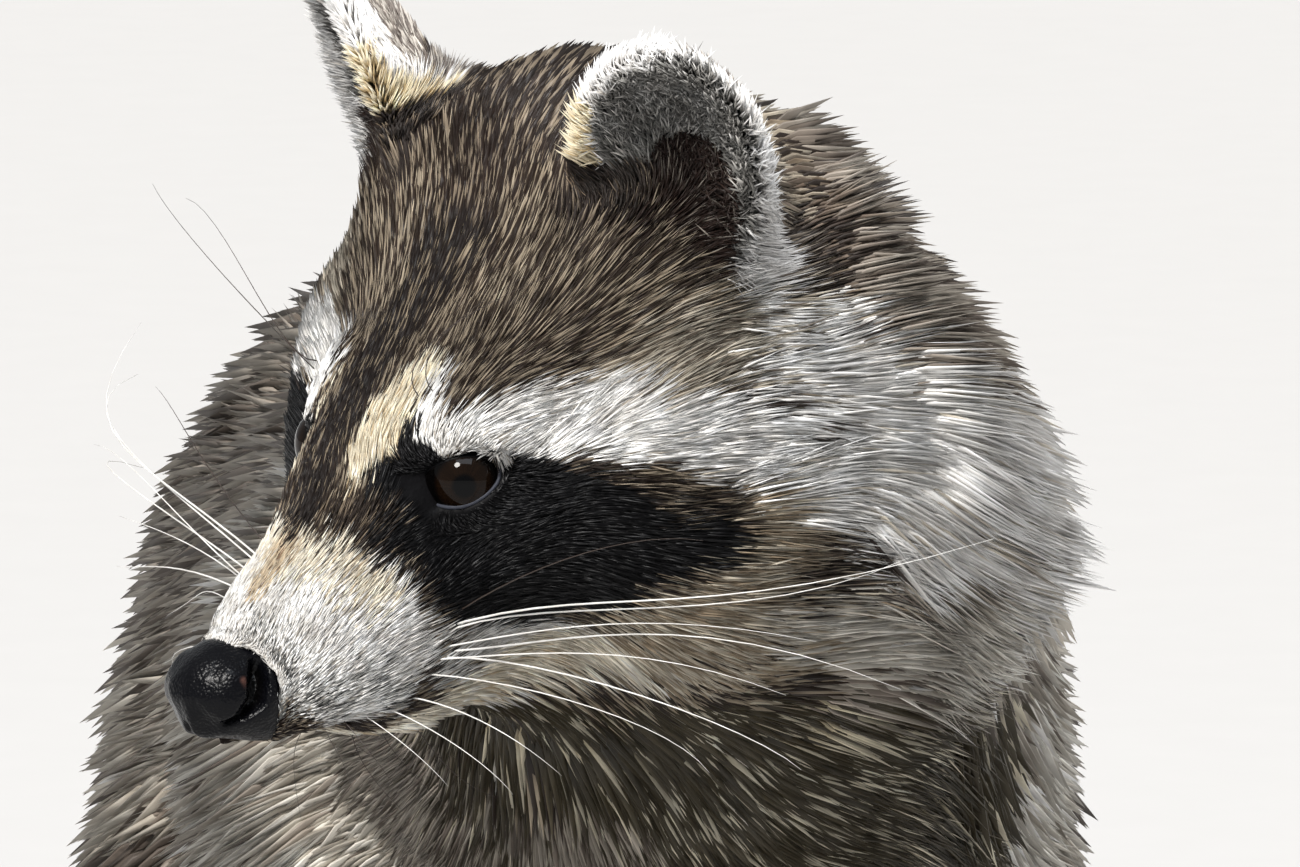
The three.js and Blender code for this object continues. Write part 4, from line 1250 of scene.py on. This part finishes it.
def keep_largest(obj):
    """Removes what the remesh left inside."""
    net = Net(obj)
    mark = np.arange(net.count)
    # the lowest mark of each loose part spreads along its edges
    for _ in range(4000):
        lower = mark.copy()
        np.minimum.at(lower, net.a, mark[net.b])
        lower = lower[lower]
        if (lower == mark).all():
            break
        mark = lower
    names, counts = np.unique(mark, return_counts=True)
    loose = mark != names[counts.argmax()]
    if loose.any():
        only(obj)
        obj.data.vertices.foreach_set("select", loose)
        bpy.ops.object.mode_set(mode="EDIT")
        bpy.ops.mesh.delete(type="VERT")
        bpy.ops.object.mode_set(mode="OBJECT")


def refine(obj, back, wide):
    """Subdivides the head's faces in front of back and within wide of the midline, in mm."""
    f, l, u = HEAD.inside(places_of(obj)).T
    chosen = (f > back) & (f < 100) & (np.abs(l) < wide) & (u > -75)
    only(obj)
    bpy.ops.object.mode_set(mode="EDIT")
    bpy.ops.mesh.select_mode(type="VERT")
    bpy.ops.mesh.select_all(action="DESELECT")
    bpy.ops.object.mode_set(mode="OBJECT")
    obj.data.vertices.foreach_set("select", chosen)
    bpy.ops.object.mode_set(mode="EDIT")
    bpy.ops.mesh.select_mode(type="FACE")
    bpy.ops.mesh.subdivide(number_cuts=1, quadcorner="FAN")
    bpy.ops.mesh.select_mode(type="VERT")
    bpy.ops.object.mode_set(mode="OBJECT")


def add_lids(skin, eyes, settings, colours, bare):
    """Joins the lids' rims to the skin and paints them all. The lower rims carry a painted wet highlight in
    pale bluish grey, full on the left eye and faint on the right; the upper rims are dark skin.
    """
    # lower: a painted highlight, the pale bluish grey of a wet lower rim catching the light; upper: the dark
    # skin of the upper rims
    lower, upper = np.array([0.055, 0.059, 0.075]), np.array([0.003, 0.003, 0.0035])
    lids, rims = [], []
    for eye in eyes:
        points, faces = ring_of_lids(eye, settings.lid)
        mesh = bpy.data.meshes.new("lid")
        mesh.from_pydata(points.tolist(), [], faces)
        lid = linked("lid", mesh)
        edit(lid, lambda: bpy.ops.mesh.normals_make_consistent(inside=False))
        apply(lid, "SUBSURF", levels=1, render_levels=1)
        lids.append(lid)
        _, around = eye.polar(unit(places_of(lid) - eye.centre))
        below = ease(-np.sin(around + 0.3), -0.2, 0.4)[:, None]
        # painted highlight on the lower rim, full on the left eye and faint on the right
        pale = lower * below * (1.0 if eye is eyes[0] else 0.15)
        rims.append(pale + upper * (1 - below))
    rim = np.concatenate(rims)
    only(skin, *lids)
    bpy.ops.object.join()
    paint(skin, np.concatenate([colours, rim]))
    paint(skin, np.repeat(np.concatenate([bare, np.ones(len(rim))])[:, None], 3, 1), "bare")
    skin.data.polygons.foreach_set("use_smooth", np.ones(len(skin.data.polygons), bool))
    skin.data.update()


# ---------------------------------------------------------------- tufts
# A tuft's corners are its root, both sides of its middle, and its tip. Its faces, and how far its corners
# lie from its root on the unwrap.
BLADE = np.array([(0, 2, 1), (1, 2, 3), (0, 1, 3), (0, 3, 2)])
BLADE_UV = np.array([(0, -1), (-1, 0), (1, 0), (0, 1)]) * 0.0015


def tufts(start, middle, tip, wide, normal):
    """Closed flat tufts, pointed at root and tip. Their middle stands over the line between the two."""
    along = unit(tip - start)
    across = unit(np.cross(normal, along))
    over = np.cross(along, across)
    least = 0.35  # of the width
    sag = least * wide - np.einsum("ij,ij->i", middle - start, over)
    middle = middle + over * np.maximum(sag, 0)[:, None]
    half = wide[:, None] / 2
    points = np.stack([start, middle + across * half, middle - across * half, tip], 1)
    triangles = (np.arange(len(start)) * points.shape[1])[:, None, None] + BLADE
    return points, triangles.reshape(-1, 3)


def unwrapped(skin, chosen):
    """Where the corners of chosen skin triangles lie on an unwrap of their own."""
    corners = skin.triangles[chosen]
    used, index = np.unique(corners.ravel(), return_inverse=True)
    patch = mesh_of("patch", skin.places[used], index.reshape(-1, 3))
    patch.data.uv_layers.new(name="OFBake")
    edit(patch, lambda: bpy.ops.uv.smart_project(angle_limit=math.radians(66), island_margin=0.004))
    uv = np.empty(len(chosen) * 6, np.float32)
    patch.data.uv_layers["OFBake"].uv.foreach_get("vector", uv)
    mesh = patch.data
    bpy.data.objects.remove(patch)
    bpy.data.meshes.remove(mesh)
    return uv.reshape(-1, 3, 2)


def combed(skin, points, rise, close):
    """Points of the tufts brought to their height over the skin, which curves away under long hairs."""
    lowered, raised = 0.008, 0.004  # metres at the most
    moved = points.copy()
    for k, point in enumerate(points):
        spot, normal, _, _ = skin.tree.find_nearest(Vector(point))
        height = (Vector(point) - spot).dot(normal)
        moved[k] += np.array(normal) * min(max(rise[k] - height, -lowered), raised) * close[k]
    return moved


# Each zone's density against its spots', and how many of its tufts share a lock.
ZONES = {
    "muzzle": (0.85, 8), "face": (1.0, 9), "crown": (1.0, 9), "cheek": (1.0, 12), "ruff": (0.84, 22),
    "ear": (1.6, 9), "chest": (0.95, 24), "back": (1.0, 12), "flanks": (1.0, 12), "rump": (1.0, 12),
    "tail": (1.0, 12), "forelegs": (0.66, 10), "hindlegs": (0.7, 10), "forepaws": (0.8, 8),
    "hindpaws": (0.55, 8),
}
# The shares of a tuft's length before and after its middle, and the lift of each part against its own.
BEFORE, AFTER = 0.45, 0.55
STEEP, FLAT = 1.3, 0.55
DROOP = 1.6  # how far the tip sinks, against the length squared in metres
LOWEST_MIDDLE, LOWEST_TIP = 0.0005, 0.0006  # metres over the floor


def scattered(skin, chosen, dense, rng):
    """Random places on chosen triangles: each one's row among them, and what its three corners count."""
    expected = np.cumsum(skin.area[chosen] * dense)
    count = int(expected[-1])
    at = (np.arange(count) + rng.random(count)) / count * expected[-1]
    face = np.minimum(np.searchsorted(expected, at), len(chosen) - 1)
    mix = np.sqrt(rng.random(count))
    second = rng.random(count)
    return face, np.stack([1 - mix, mix * (1 - second), mix * second], 1)[:, :, None]


def leaders(root, every):
    """For each tuft, the nearest of every few, which its lock gathers to."""
    heads = np.arange(0, len(root), every)
    tree = tree_of(root[heads])
    return heads[np.array([tree.find(spot)[1] for spot in root])]


def tuft_colours(rows, lock, leader, root, rng):
    """The colours at each tuft's corners. In a lock most tufts are flecks together or none is."""
    count = len(rows)
    chance = rng.random(count)
    chance = np.where(rng.random(count) < lock - 0.1, chance[leader], chance)
    fleck = (chance < rows[:, FLECK])[:, None]
    mid = np.where(fleck, rows[:, FLECK_MID], rows[:, MID])
    end = np.where(fleck, rows[:, FLECK_TIP], rows[:, TIP])
    tone = rng.normal(size=count)
    tone = np.exp(tone * 0.16 + tone[leader] * 0.08 + waves(root, 0.024, 23)[:, 0] * 0.08)
    return np.clip(np.stack([rows[:, ROOT], mid, mid, end], 1) * tone[:, None, None], 0, 1)


def grow(zone, settings, material, seed):
    """One piece of the coat: its tufts rooted on the skin's triangles of that zone."""
    skin = made["dressed"]
    rng = np.random.default_rng(seed)
    chosen = np.where(skin.zones == zone)[0]
    corners = skin.triangles[chosen]
    factor, every = ZONES[zone.split("_")[0]]
    dense = skin.fields[corners, DENSE].mean(1) * 1e6 * settings.dense * factor  # per square metre
    face, counts = scattered(skin, chosen, dense, rng)
    pick = corners[face]
    count = len(pick)

    def over(values):
        return (values[pick] * counts).sum(1)

    root, normal = over(skin.places), unit(over(skin.normals))
    outline, lie = over(skin.outline), over(skin.lie)
    fields = over(skin.fields)
    labels = skin.labels[pick[:, 0]]
    ear = zone.startswith("ear")
    long = fields[:, LENGTH] * MM * settings.long * rng.uniform(0.7, 1.15, count)
    wide = fields[:, WIDTH] * MM * settings.thick * rng.uniform(0.7, 1.25, count)
    lift = np.radians(fields[:, LIFT]) * rng.uniform(0.7, 1.3, count)
    lean = waves(root, 0.011, 21) * 0.16 + waves(root, 0.035, 22) * 0.14
    lean = lean * settings.curl + rng.normal(size=(count, 3)) * 0.09
    if ear:
        # the wool in the ear lies every way
        names = furs_at(outline, labels, normal)
        lean += rng.normal(size=(count, 3)) * np.isin(names, ("ear_grey", "ear_hollow"))[:, None] * 0.55
    ahead = unit(along_skin(lie + lean, normal))
    first = ahead * np.cos(lift * STEEP)[:, None] + normal * np.sin(lift * STEEP)[:, None]
    then = ahead * np.cos(lift * FLAT)[:, None] + normal * np.sin(lift * FLAT)[:, None]
    start = root - normal * wide[:, None] * 0.6  # under the skin
    middle = root + first * (long * BEFORE)[:, None]
    tip = middle + then * (long * AFTER)[:, None]
    tip[:, 2] -= long ** 2 * DROOP
    if not ear:
        rise = long * BEFORE * np.sin(lift * STEEP)
        close = 0.25 + 0.6 * np.isin(labels, ("head", "lower_jaw"))
        middle = combed(skin, middle, rise, close)
        tip = combed(skin, tip, rise + long * AFTER * np.sin(lift * FLAT), close)
    middle[:, 2] = np.maximum(middle[:, 2], LOWEST_MIDDLE)
    tip[:, 2] = np.maximum(tip[:, 2], LOWEST_TIP)
    leader = leaders(root, every)
    pull = (fields[:, LOCK] * rng.uniform(0.5, 1.15, count))[:, None]
    tip = tip + (tip[leader] - tip) * pull * 0.8
    middle = middle + (middle[leader] - middle) * pull * 0.35
    names = furs_at(outline + then * (long * 0.5)[:, None], labels, normal, rng)
    colours = tuft_colours(fur_rows(names), fields[:, LOCK], leader, root, rng)
    points, triangles = tufts(start, middle, tip, wide, normal)
    piece = mesh_of(f"coat_{zone}", points.reshape(-1, 3), triangles)
    paint(piece, colours.reshape(-1, 3))
    uv = (unwrapped(skin, chosen)[face] * counts).sum(1)[:, None] + BLADE_UV
    layer = piece.data.uv_layers.new(name="OFBake")
    layer.uv.foreach_set("vector", uv.reshape(-1, 2)[triangles.ravel()].astype(np.float32).ravel())
    print("piece", piece.name, "tufts", count, "triangles", len(triangles))
    finished(piece, material)


# ---------------------------------------------------------------- operators
class RACCOON_OT_camera(bpy.types.Operator):
    """Set the camera"""

    bl_idname = "raccoon.camera"
    bl_label = "Camera"

    def execute(self, context):
        settings = context.scene.raccoon_camera
        back = compass(settings.azimuth, settings.elevation)
        right = Vector((math.cos(settings.azimuth), math.sin(settings.azimuth), 0))
        up = back.cross(right)
        brow = Vector(HEAD.outside((3.6, 0, 0.8)))
        data = bpy.data.cameras.new("camera")
        data.sensor_width = 36
        data.lens = data.sensor_width * settings.distance / settings.width
        data.clip_end = 60
        camera = linked("camera", data)
        camera.matrix_world = Matrix(((*right, 0), (*up, 0), (*back, 0), (0, 0, 0, 1))).transposed()
        camera.location = brow + right * settings.right + up * settings.up + back * settings.distance
        context.scene.camera = camera
        return {"FINISHED"}


class RACCOON_OT_skin(bpy.types.Operator):
    """Make the skin from the solids of flesh"""

    bl_idname = "raccoon.skin"
    bl_label = "Skin"

    def execute(self, context):
        skin = skin_of(context.scene.raccoon_skin, context.scene.raccoon_eye)
        finished(skin, skin_finish(), FLESH)
        print("piece", skin.name, "triangles", len(triangles_of(skin)))
        return {"FINISHED"}


class RACCOON_OT_eyes(bpy.types.Operator):
    """Make both eyeballs"""

    bl_idname = "raccoon.eyes"
    bl_label = "Eyes"

    def execute(self, context):
        settings = context.scene.raccoon_eye
        for side, word in zip(SIDES, ("left", "right")):
            eye = Eye(settings, side)
            bpy.ops.object.select_all(action="DESELECT")
            bpy.ops.mesh.primitive_ico_sphere_add(subdivisions=5, radius=settings.radius, location=eye.centre)
            ball = context.object
            ball.name = ball.data.name = f"eyeball_{word}"
            bpy.ops.object.transform_apply(location=True, rotation=True, scale=True)
            # the front bulges, from 0.75 radians off the look
            offset = places_of(ball) - eye.centre
            facing = unit(offset) @ eye.gaze
            place(ball, eye.centre + offset * (1 + 0.05 * ease(facing, math.cos(0.75), 1.0))[:, None])
            bpy.ops.object.shade_smooth()
            finished(ball, eye_finish(settings, eye.centre, eye.gaze), [f"eye_{word}"])
        return {"FINISHED"}


class RACCOON_OT_nose(bpy.types.Operator):
    """Make the nose pad"""

    bl_idname = "raccoon.nose"
    bl_label = "Nose"

    # lines of balls in the head's axes, as the markings': the nostril, the groove below it, the nostril's
    # wing, the swelling over it, and the moist flesh in it
    PIT = ((47.0, 7.8, -10.0, 1.2), (49.3, 9.6, -12.0, 1.9), (51.4, 10.5, -14.4, 1.7),
           (54.4, 8.5, -16, 1.0), (57, 6.3, -16.6, 0.4))
    GROOVE = ((60, 0, -16, 0.2), (58, 0, -22, 0.35), (52, 0, -26, 0.3))
    WING = ((47, 9.4, -11, 0.8), (48.6, 11, -14, 1.2), (50, 11.4, -17.5, 0.9))
    PAD = ((52, 6.4, -10, 1.5), (54.6, 6.8, -12.6, 1.8))
    MOIST = ((51.2, 8.0, -11.2, 0.5), (52, 8.4, -12.6, 0.3))
    LEATHER = np.array([0.0026, 0.0027, 0.0038])
    # painted shade: the colour deep in the nostril's pit, darker than the leather
    INSIDE = np.array([0.0012, 0.001, 0.001])
    PINK = np.array([0.16, 0.075, 0.055])

    def execute(self, context):
        nose = merged_copies("nose_pad", ["nose"])
        apply(nose, "REMESH", mode="VOXEL", voxel_size=0.0003)
        apply(nose, "SMOOTH", factor=0.7, iterations=30)
        net = Net(nose)
        places, normals = places_of(nose), unit(net.even(normals_of(nose), 4))
        mm = HEAD.inside(places)
        flat = folded(mm)
        pit, groove = reach(flat, self.PIT), reach(flat, self.GROOVE)
        wing, pad = reach(flat, self.WING), reach(flat, self.PAD)
        inward = 3.2 * (1 - ease(pit, -0.8, 0.3)) + 0.7 * (1 - ease(groove, -0.2, 0.9))
        inward -= 0.25 * (1 - ease(wing, -0.5, 1.6)) * ease(pit, -0.2, 0.6) + 0.5 * (1 - ease(pad, -1.0, 1.6))
        inward += 1.3 * ease(-mm[:, 2], 17.5, 24) * ease(mm[:, 0], 50, 58)
        place(nose, net.even(places - normals * (inward * MM)[:, None], 2))
        # where the nostril's pit is deep, its colour is darkened as painted shade
        inner = (1 - ease(pit, -0.6, 0.1))[:, None]
        # pink flesh shows in the left nostril only
        pink = (1 - ease(reach(flat, self.MOIST), -0.3, 0.5))[:, None] * (mm[:, 1:2] > 0)
        colours = self.LEATHER * (1 - inner) + self.INSIDE * inner
        paint(nose, colours * (1 - pink) + self.PINK * pink)
        bpy.ops.object.shade_smooth()
        finished(nose, nose_finish(), ["nose"])
        return {"FINISHED"}


class RACCOON_OT_claws(bpy.types.Operator):
    """Make the claws"""

    bl_idname = "raccoon.claws"
    bl_label = "Claws"

    def execute(self, context):
        claws = merged_copies("claws", CLAWS)
        apply(claws, "SUBSURF", levels=2, render_levels=2)
        bpy.ops.object.shade_smooth()
        finished(claws, claw_finish(), CLAWS)
        return {"FINISHED"}


# Whiskers by their points in the head's axes, whether they are pale, and their thickness against the setting.
WHISKERS = (
    (((18.5, 16, -21.7), (11.9, 55.6, -11), (-1.8, 85, -10.9), (-31.2, 106, -14.9)), True, 1.0),
    (((19.4, 16.2, -22.6), (12.6, 50, -13.5), (1.4, 82.5, -11.4), (-19.9, 97.4, -13.9)), True, 0.9),
    (((17.0, 17, -21), (10, 40, -9), (2, 57, -5.5), (-2.2, 68.5, -5)), False, 0.6),
    (((20.8, 16, -24.2), (14, 46, -19), (5, 76.5, -18), (-7.9, 98.3, -31.8)), True, 1.0),
    (((21.6, 15.8, -23.6), (15, 44, -17), (8, 70, -14.6), (-3, 89, -20)), True, 0.8),
    (((22.1, 15.7, -25), (16, 46, -25), (9.6, 72.6, -33.2), (4.9, 82.9, -43.1)), True, 0.9),
    (((23.4, 15.2, -24.4), (17, 40, -21.5), (10, 64, -22), (4, 84, -28)), True, 0.8),
    (((25, 14.8, -26), (19, 40, -28), (13, 58, -36), (10, 66, -44)), True, 0.7),
    (((28.1, 13.9, -28.5), (27, 30, -29), (26, 40.2, -33.8), (25, 46, -40)), True, 0.7),
    (((31.6, 11.3, -28.4), (32, 26, -30), (31.7, 36.8, -34.8), (31, 42, -40)), True, 0.6),
    (((35, 10.8, -27), (36, 20, -29), (36.5, 27, -33), (36, 31, -38)), True, 0.5),
    (((38, 10, -25), (40, 16, -27), (41, 21, -31), (41, 24, -35)), False, 0.4),
    (((33, 6, -33), (35, 8, -38), (35, 10, -44), (33, 11, -50)), False, 0.4),
    (((28, 6, -35), (29, 9, -41), (28, 11, -48), (25, 12, -54)), False, 0.4),
    (((23, 7, -37), (23, 11, -44), (21, 14, -51), (17, 16, -57)), False, 0.4),
    (((2, 13, 14.5), (4, 21, 26), (0, 36, 36), (-7.6, 51, 40.8)), False, 0.55),
    (((0, 14.5, 14.5), (2, 20, 24), (-1, 30, 33), (-7, 41, 39)), False, 0.5),
)


def thread(points, radius_root, radius_tip, steps=14, sides=5):
    """A closed tapering hair along a curve through four points."""
    t = np.linspace(0, 1, steps)
    knots = np.array([0, 0.38, 0.72, 1.0])  # how far along the hair the four points lie
    basis = []
    for knot in knots:
        basis.append(np.prod([(t - other) / (knot - other) for other in knots if other != knot], 0))
    spine = np.stack(basis, 1) @ np.asarray(points)
    along = unit(np.gradient(spine, axis=0))
    side = unit(np.cross(along, np.array([0.3, 0.2, 0.93])))
    over = np.cross(side, along)
    thick = radius_root + (radius_tip - radius_root) * t ** 1.3
    turns = np.arange(sides) / sides * 2 * math.pi
    rings = (spine[:, None] + thick[:, None, None]
             * (np.cos(turns)[None, :, None] * side[:, None] + np.sin(turns)[None, :, None] * over[:, None]))
    vertices = np.concatenate([rings.reshape(-1, 3), spine[:1], spine[-1:]])
    first, last = steps * sides, steps * sides + 1
    faces = []
    for j in range(sides):
        n = (j + 1) % sides
        faces.append((first, j, n))
        faces.append((last, (steps - 1) * sides + n, (steps - 1) * sides + j))
        for k in range(steps - 1):
            a, b = k * sides, (k + 1) * sides
            faces += [(a + j, b + j, b + n), (a + j, b + n, a + n)]
    return vertices, np.array(faces)


class RACCOON_OT_whiskers(bpy.types.Operator):
    """Make the whiskers of the muzzle and brow"""

    bl_idname = "raccoon.whiskers"
    bl_label = "Whiskers"

    def execute(self, context):
        settings = context.scene.raccoon_whisker
        rng = np.random.default_rng(5)
        # how far the four points stray in mm, farther on the right side than on the left
        loose = np.array([0, 0.5, 1.4, 2.6])[:, None]
        pale_tint, dark_tint = (0.86, 0.85, 0.82), (0.05, 0.035, 0.028)
        places, faces, colours, count = [], [], [], 0
        for points, pale, thick in WHISKERS:
            for side in SIDES:
                stray = rng.normal(size=(4, 3)) * loose * (0.15 if side > 0 else 1)
                line = HEAD.outside([mirrored(p, side) for p in np.array(points) + stray])
                vertices, triangles = thread(line, settings.root * thick, settings.tip * max(thick, 0.7))
                places.append(vertices)
                faces.append(triangles + count)
                colours.append(np.tile(pale_tint if pale else dark_tint, (len(vertices), 1)))
                count += len(vertices)
        whiskers = mesh_of("whiskers", np.concatenate(places), np.concatenate(faces))
        edit(whiskers, lambda: bpy.ops.mesh.normals_make_consistent(inside=False))
        paint(whiskers, np.concatenate(colours))
        finished(whiskers, coat_finish("whisker", 0.35, 0.5))
        return {"FINISHED"}


class CoatMaker:
    """What the coat's operators share: each grows the pieces of its zones."""

    zones = ()
    slot = "body_coat"

    def execute(self, context):
        if "dressed" not in made:
            raise RuntimeError("make the skin before the coat")
        material = bpy.data.materials.get("hair") or coat_finish("hair", 0.5, 0.28)
        for zone in self.zones:
            seed = sum(map(ord, zone))
            grow(zone, context.scene.raccoon_coat, material, seed)
        return {"FINISHED"}


class RACCOON_OT_face_coat(CoatMaker, bpy.types.Operator):
    """Grow the short coat of the muzzle, face and crown"""

    bl_idname = "raccoon.face_coat"
    bl_label = "Face coat"
    zones = ("muzzle", "face_left", "face_right", "crown")
    slot = "face_coat"


class RACCOON_OT_cheek_coat(CoatMaker, bpy.types.Operator):
    """Grow the longer coat of the cheeks and the ruff"""

    bl_idname = "raccoon.cheek_coat"
    bl_label = "Cheeks and ruff"
    zones = ("cheek_left", "cheek_right", "ruff_left", "ruff_right")
    slot = "face_coat"


class RACCOON_OT_ear_coat(CoatMaker, bpy.types.Operator):
    """Grow the coat of the ears"""

    bl_idname = "raccoon.ear_coat"
    bl_label = "Ear coat"
    zones = ("ear_left", "ear_right")
    slot = "ear_coat"


class RACCOON_OT_body_coat(CoatMaker, bpy.types.Operator):
    """Grow the body's coat"""

    bl_idname = "raccoon.body_coat"
    bl_label = "Body coat"
    zones = ("chest", "back", "flanks", "rump")


class RACCOON_OT_tail_coat(CoatMaker, bpy.types.Operator):
    """Grow the tail's coat, in rings"""

    bl_idname = "raccoon.tail_coat"
    bl_label = "Tail coat"
    zones = ("tail",)
    slot = "tail_coat"


class RACCOON_OT_leg_coat(CoatMaker, bpy.types.Operator):
    """Grow the coat of the legs"""

    bl_idname = "raccoon.leg_coat"
    bl_label = "Leg coat"
    zones = ("forelegs", "hindlegs")


class RACCOON_OT_paw_coat(CoatMaker, bpy.types.Operator):
    """Grow the short coat of the paws"""

    bl_idname = "raccoon.paw_coat"
    bl_label = "Paw coat"
    zones = ("forepaws", "hindpaws")
    slot = "paw_coat"


class RACCOON_OT_stage(bpy.types.Operator):
    """Lay the floor and set the lights"""

    bl_idname = "raccoon.stage"
    bl_label = "Stage"

    def light(self, kind, name, azimuth, elevation, power, tint, **more):
        """A lamp 1.7 m from the head, at angles in degrees, turned to it."""
        way = compass(math.radians(azimuth), math.radians(elevation))
        data = bpy.data.lights.new(name, kind)
        data.energy, data.color = power, tint
        for setting, value in more.items():
            setattr(data, setting, value)
        lamp = linked(name, data)
        lamp.location = Vector(HEAD.origin) + way * 1.7
        lamp.rotation_mode = "QUATERNION"
        lamp.rotation_quaternion = (-way).to_track_quat("-Z", "Y")

    def execute(self, context):
        settings = context.scene.raccoon_stage
        bpy.ops.object.select_all(action="DESELECT")
        bpy.ops.mesh.primitive_plane_add(size=40, location=(0, 0, 0))
        floor = context.object
        floor.name = floor.data.name = "floor"
        floor.data.materials.append(floor_finish(tuple(settings.floor)))
        self.light("SUN", "key", -36, 50, settings.key, (1.0, 0.97, 0.93), angle=math.radians(16))
        self.light("SUN", "rim", 112, 44, settings.rim, (1.0, 1.0, 1.0), angle=math.radians(12))
        self.light("AREA", "sky", -4, 64, settings.sky, (0.84, 0.91, 1.0),
                   shape="RECTANGLE", size=1.3, size_y=0.5)
        world = bpy.data.worlds.new("room")
        world.use_nodes = True
        background = world.node_tree.nodes["Background"].inputs
        background["Color"].default_value = (0.94, 0.97, 1.0, 1)
        background["Strength"].default_value = settings.fill
        context.scene.world = world
        context.scene.view_settings.view_transform = "Standard"
        return {"FINISHED"}


OPERATORS = (
    RACCOON_OT_camera, RACCOON_OT_skin, RACCOON_OT_eyes, RACCOON_OT_nose, RACCOON_OT_claws,
    RACCOON_OT_face_coat, RACCOON_OT_cheek_coat, RACCOON_OT_ear_coat, RACCOON_OT_body_coat,
    RACCOON_OT_tail_coat, RACCOON_OT_leg_coat, RACCOON_OT_paw_coat, RACCOON_OT_whiskers, RACCOON_OT_stage,
)
GROUPS = {
    "raccoon_camera": CameraSettings,
    "raccoon_stage": StageSettings,
    "raccoon_skin": SkinSettings,
    "raccoon_eye": EyeSettings,
    "raccoon_coat": CoatSettings,
    "raccoon_whisker": WhiskerSettings,
}


class RACCOON_PT_panel(bpy.types.Panel):
    bl_idname = "RACCOON_PT_panel"
    bl_label = "Raccoon"
    bl_space_type = "VIEW_3D"
    bl_region_type = "UI"
    bl_category = "Raccoon"

    def draw(self, context):
        for operator in OPERATORS:
            self.layout.operator(operator.bl_idname)
        for name, group in GROUPS.items():
            box = self.layout.box()
            for key in group.__annotations__:
                box.prop(getattr(context.scene, name), key)


def register():
    for cls in (*GROUPS.values(), *OPERATORS, RACCOON_PT_panel):
        bpy.utils.register_class(cls)
    for name, group in GROUPS.items():
        setattr(bpy.types.Scene, name, bpy.props.PointerProperty(type=group))


def unregister():
    for name in GROUPS:
        delattr(bpy.types.Scene, name)
    for cls in reversed((*GROUPS.values(), *OPERATORS, RACCOON_PT_panel)):
        bpy.utils.unregister_class(cls)


def main():
    register()
    for operator in OPERATORS:
        group, name = operator.bl_idname.split(".")
        getattr(getattr(bpy.ops, group), name)()


if __name__ == "__main__":
    main()
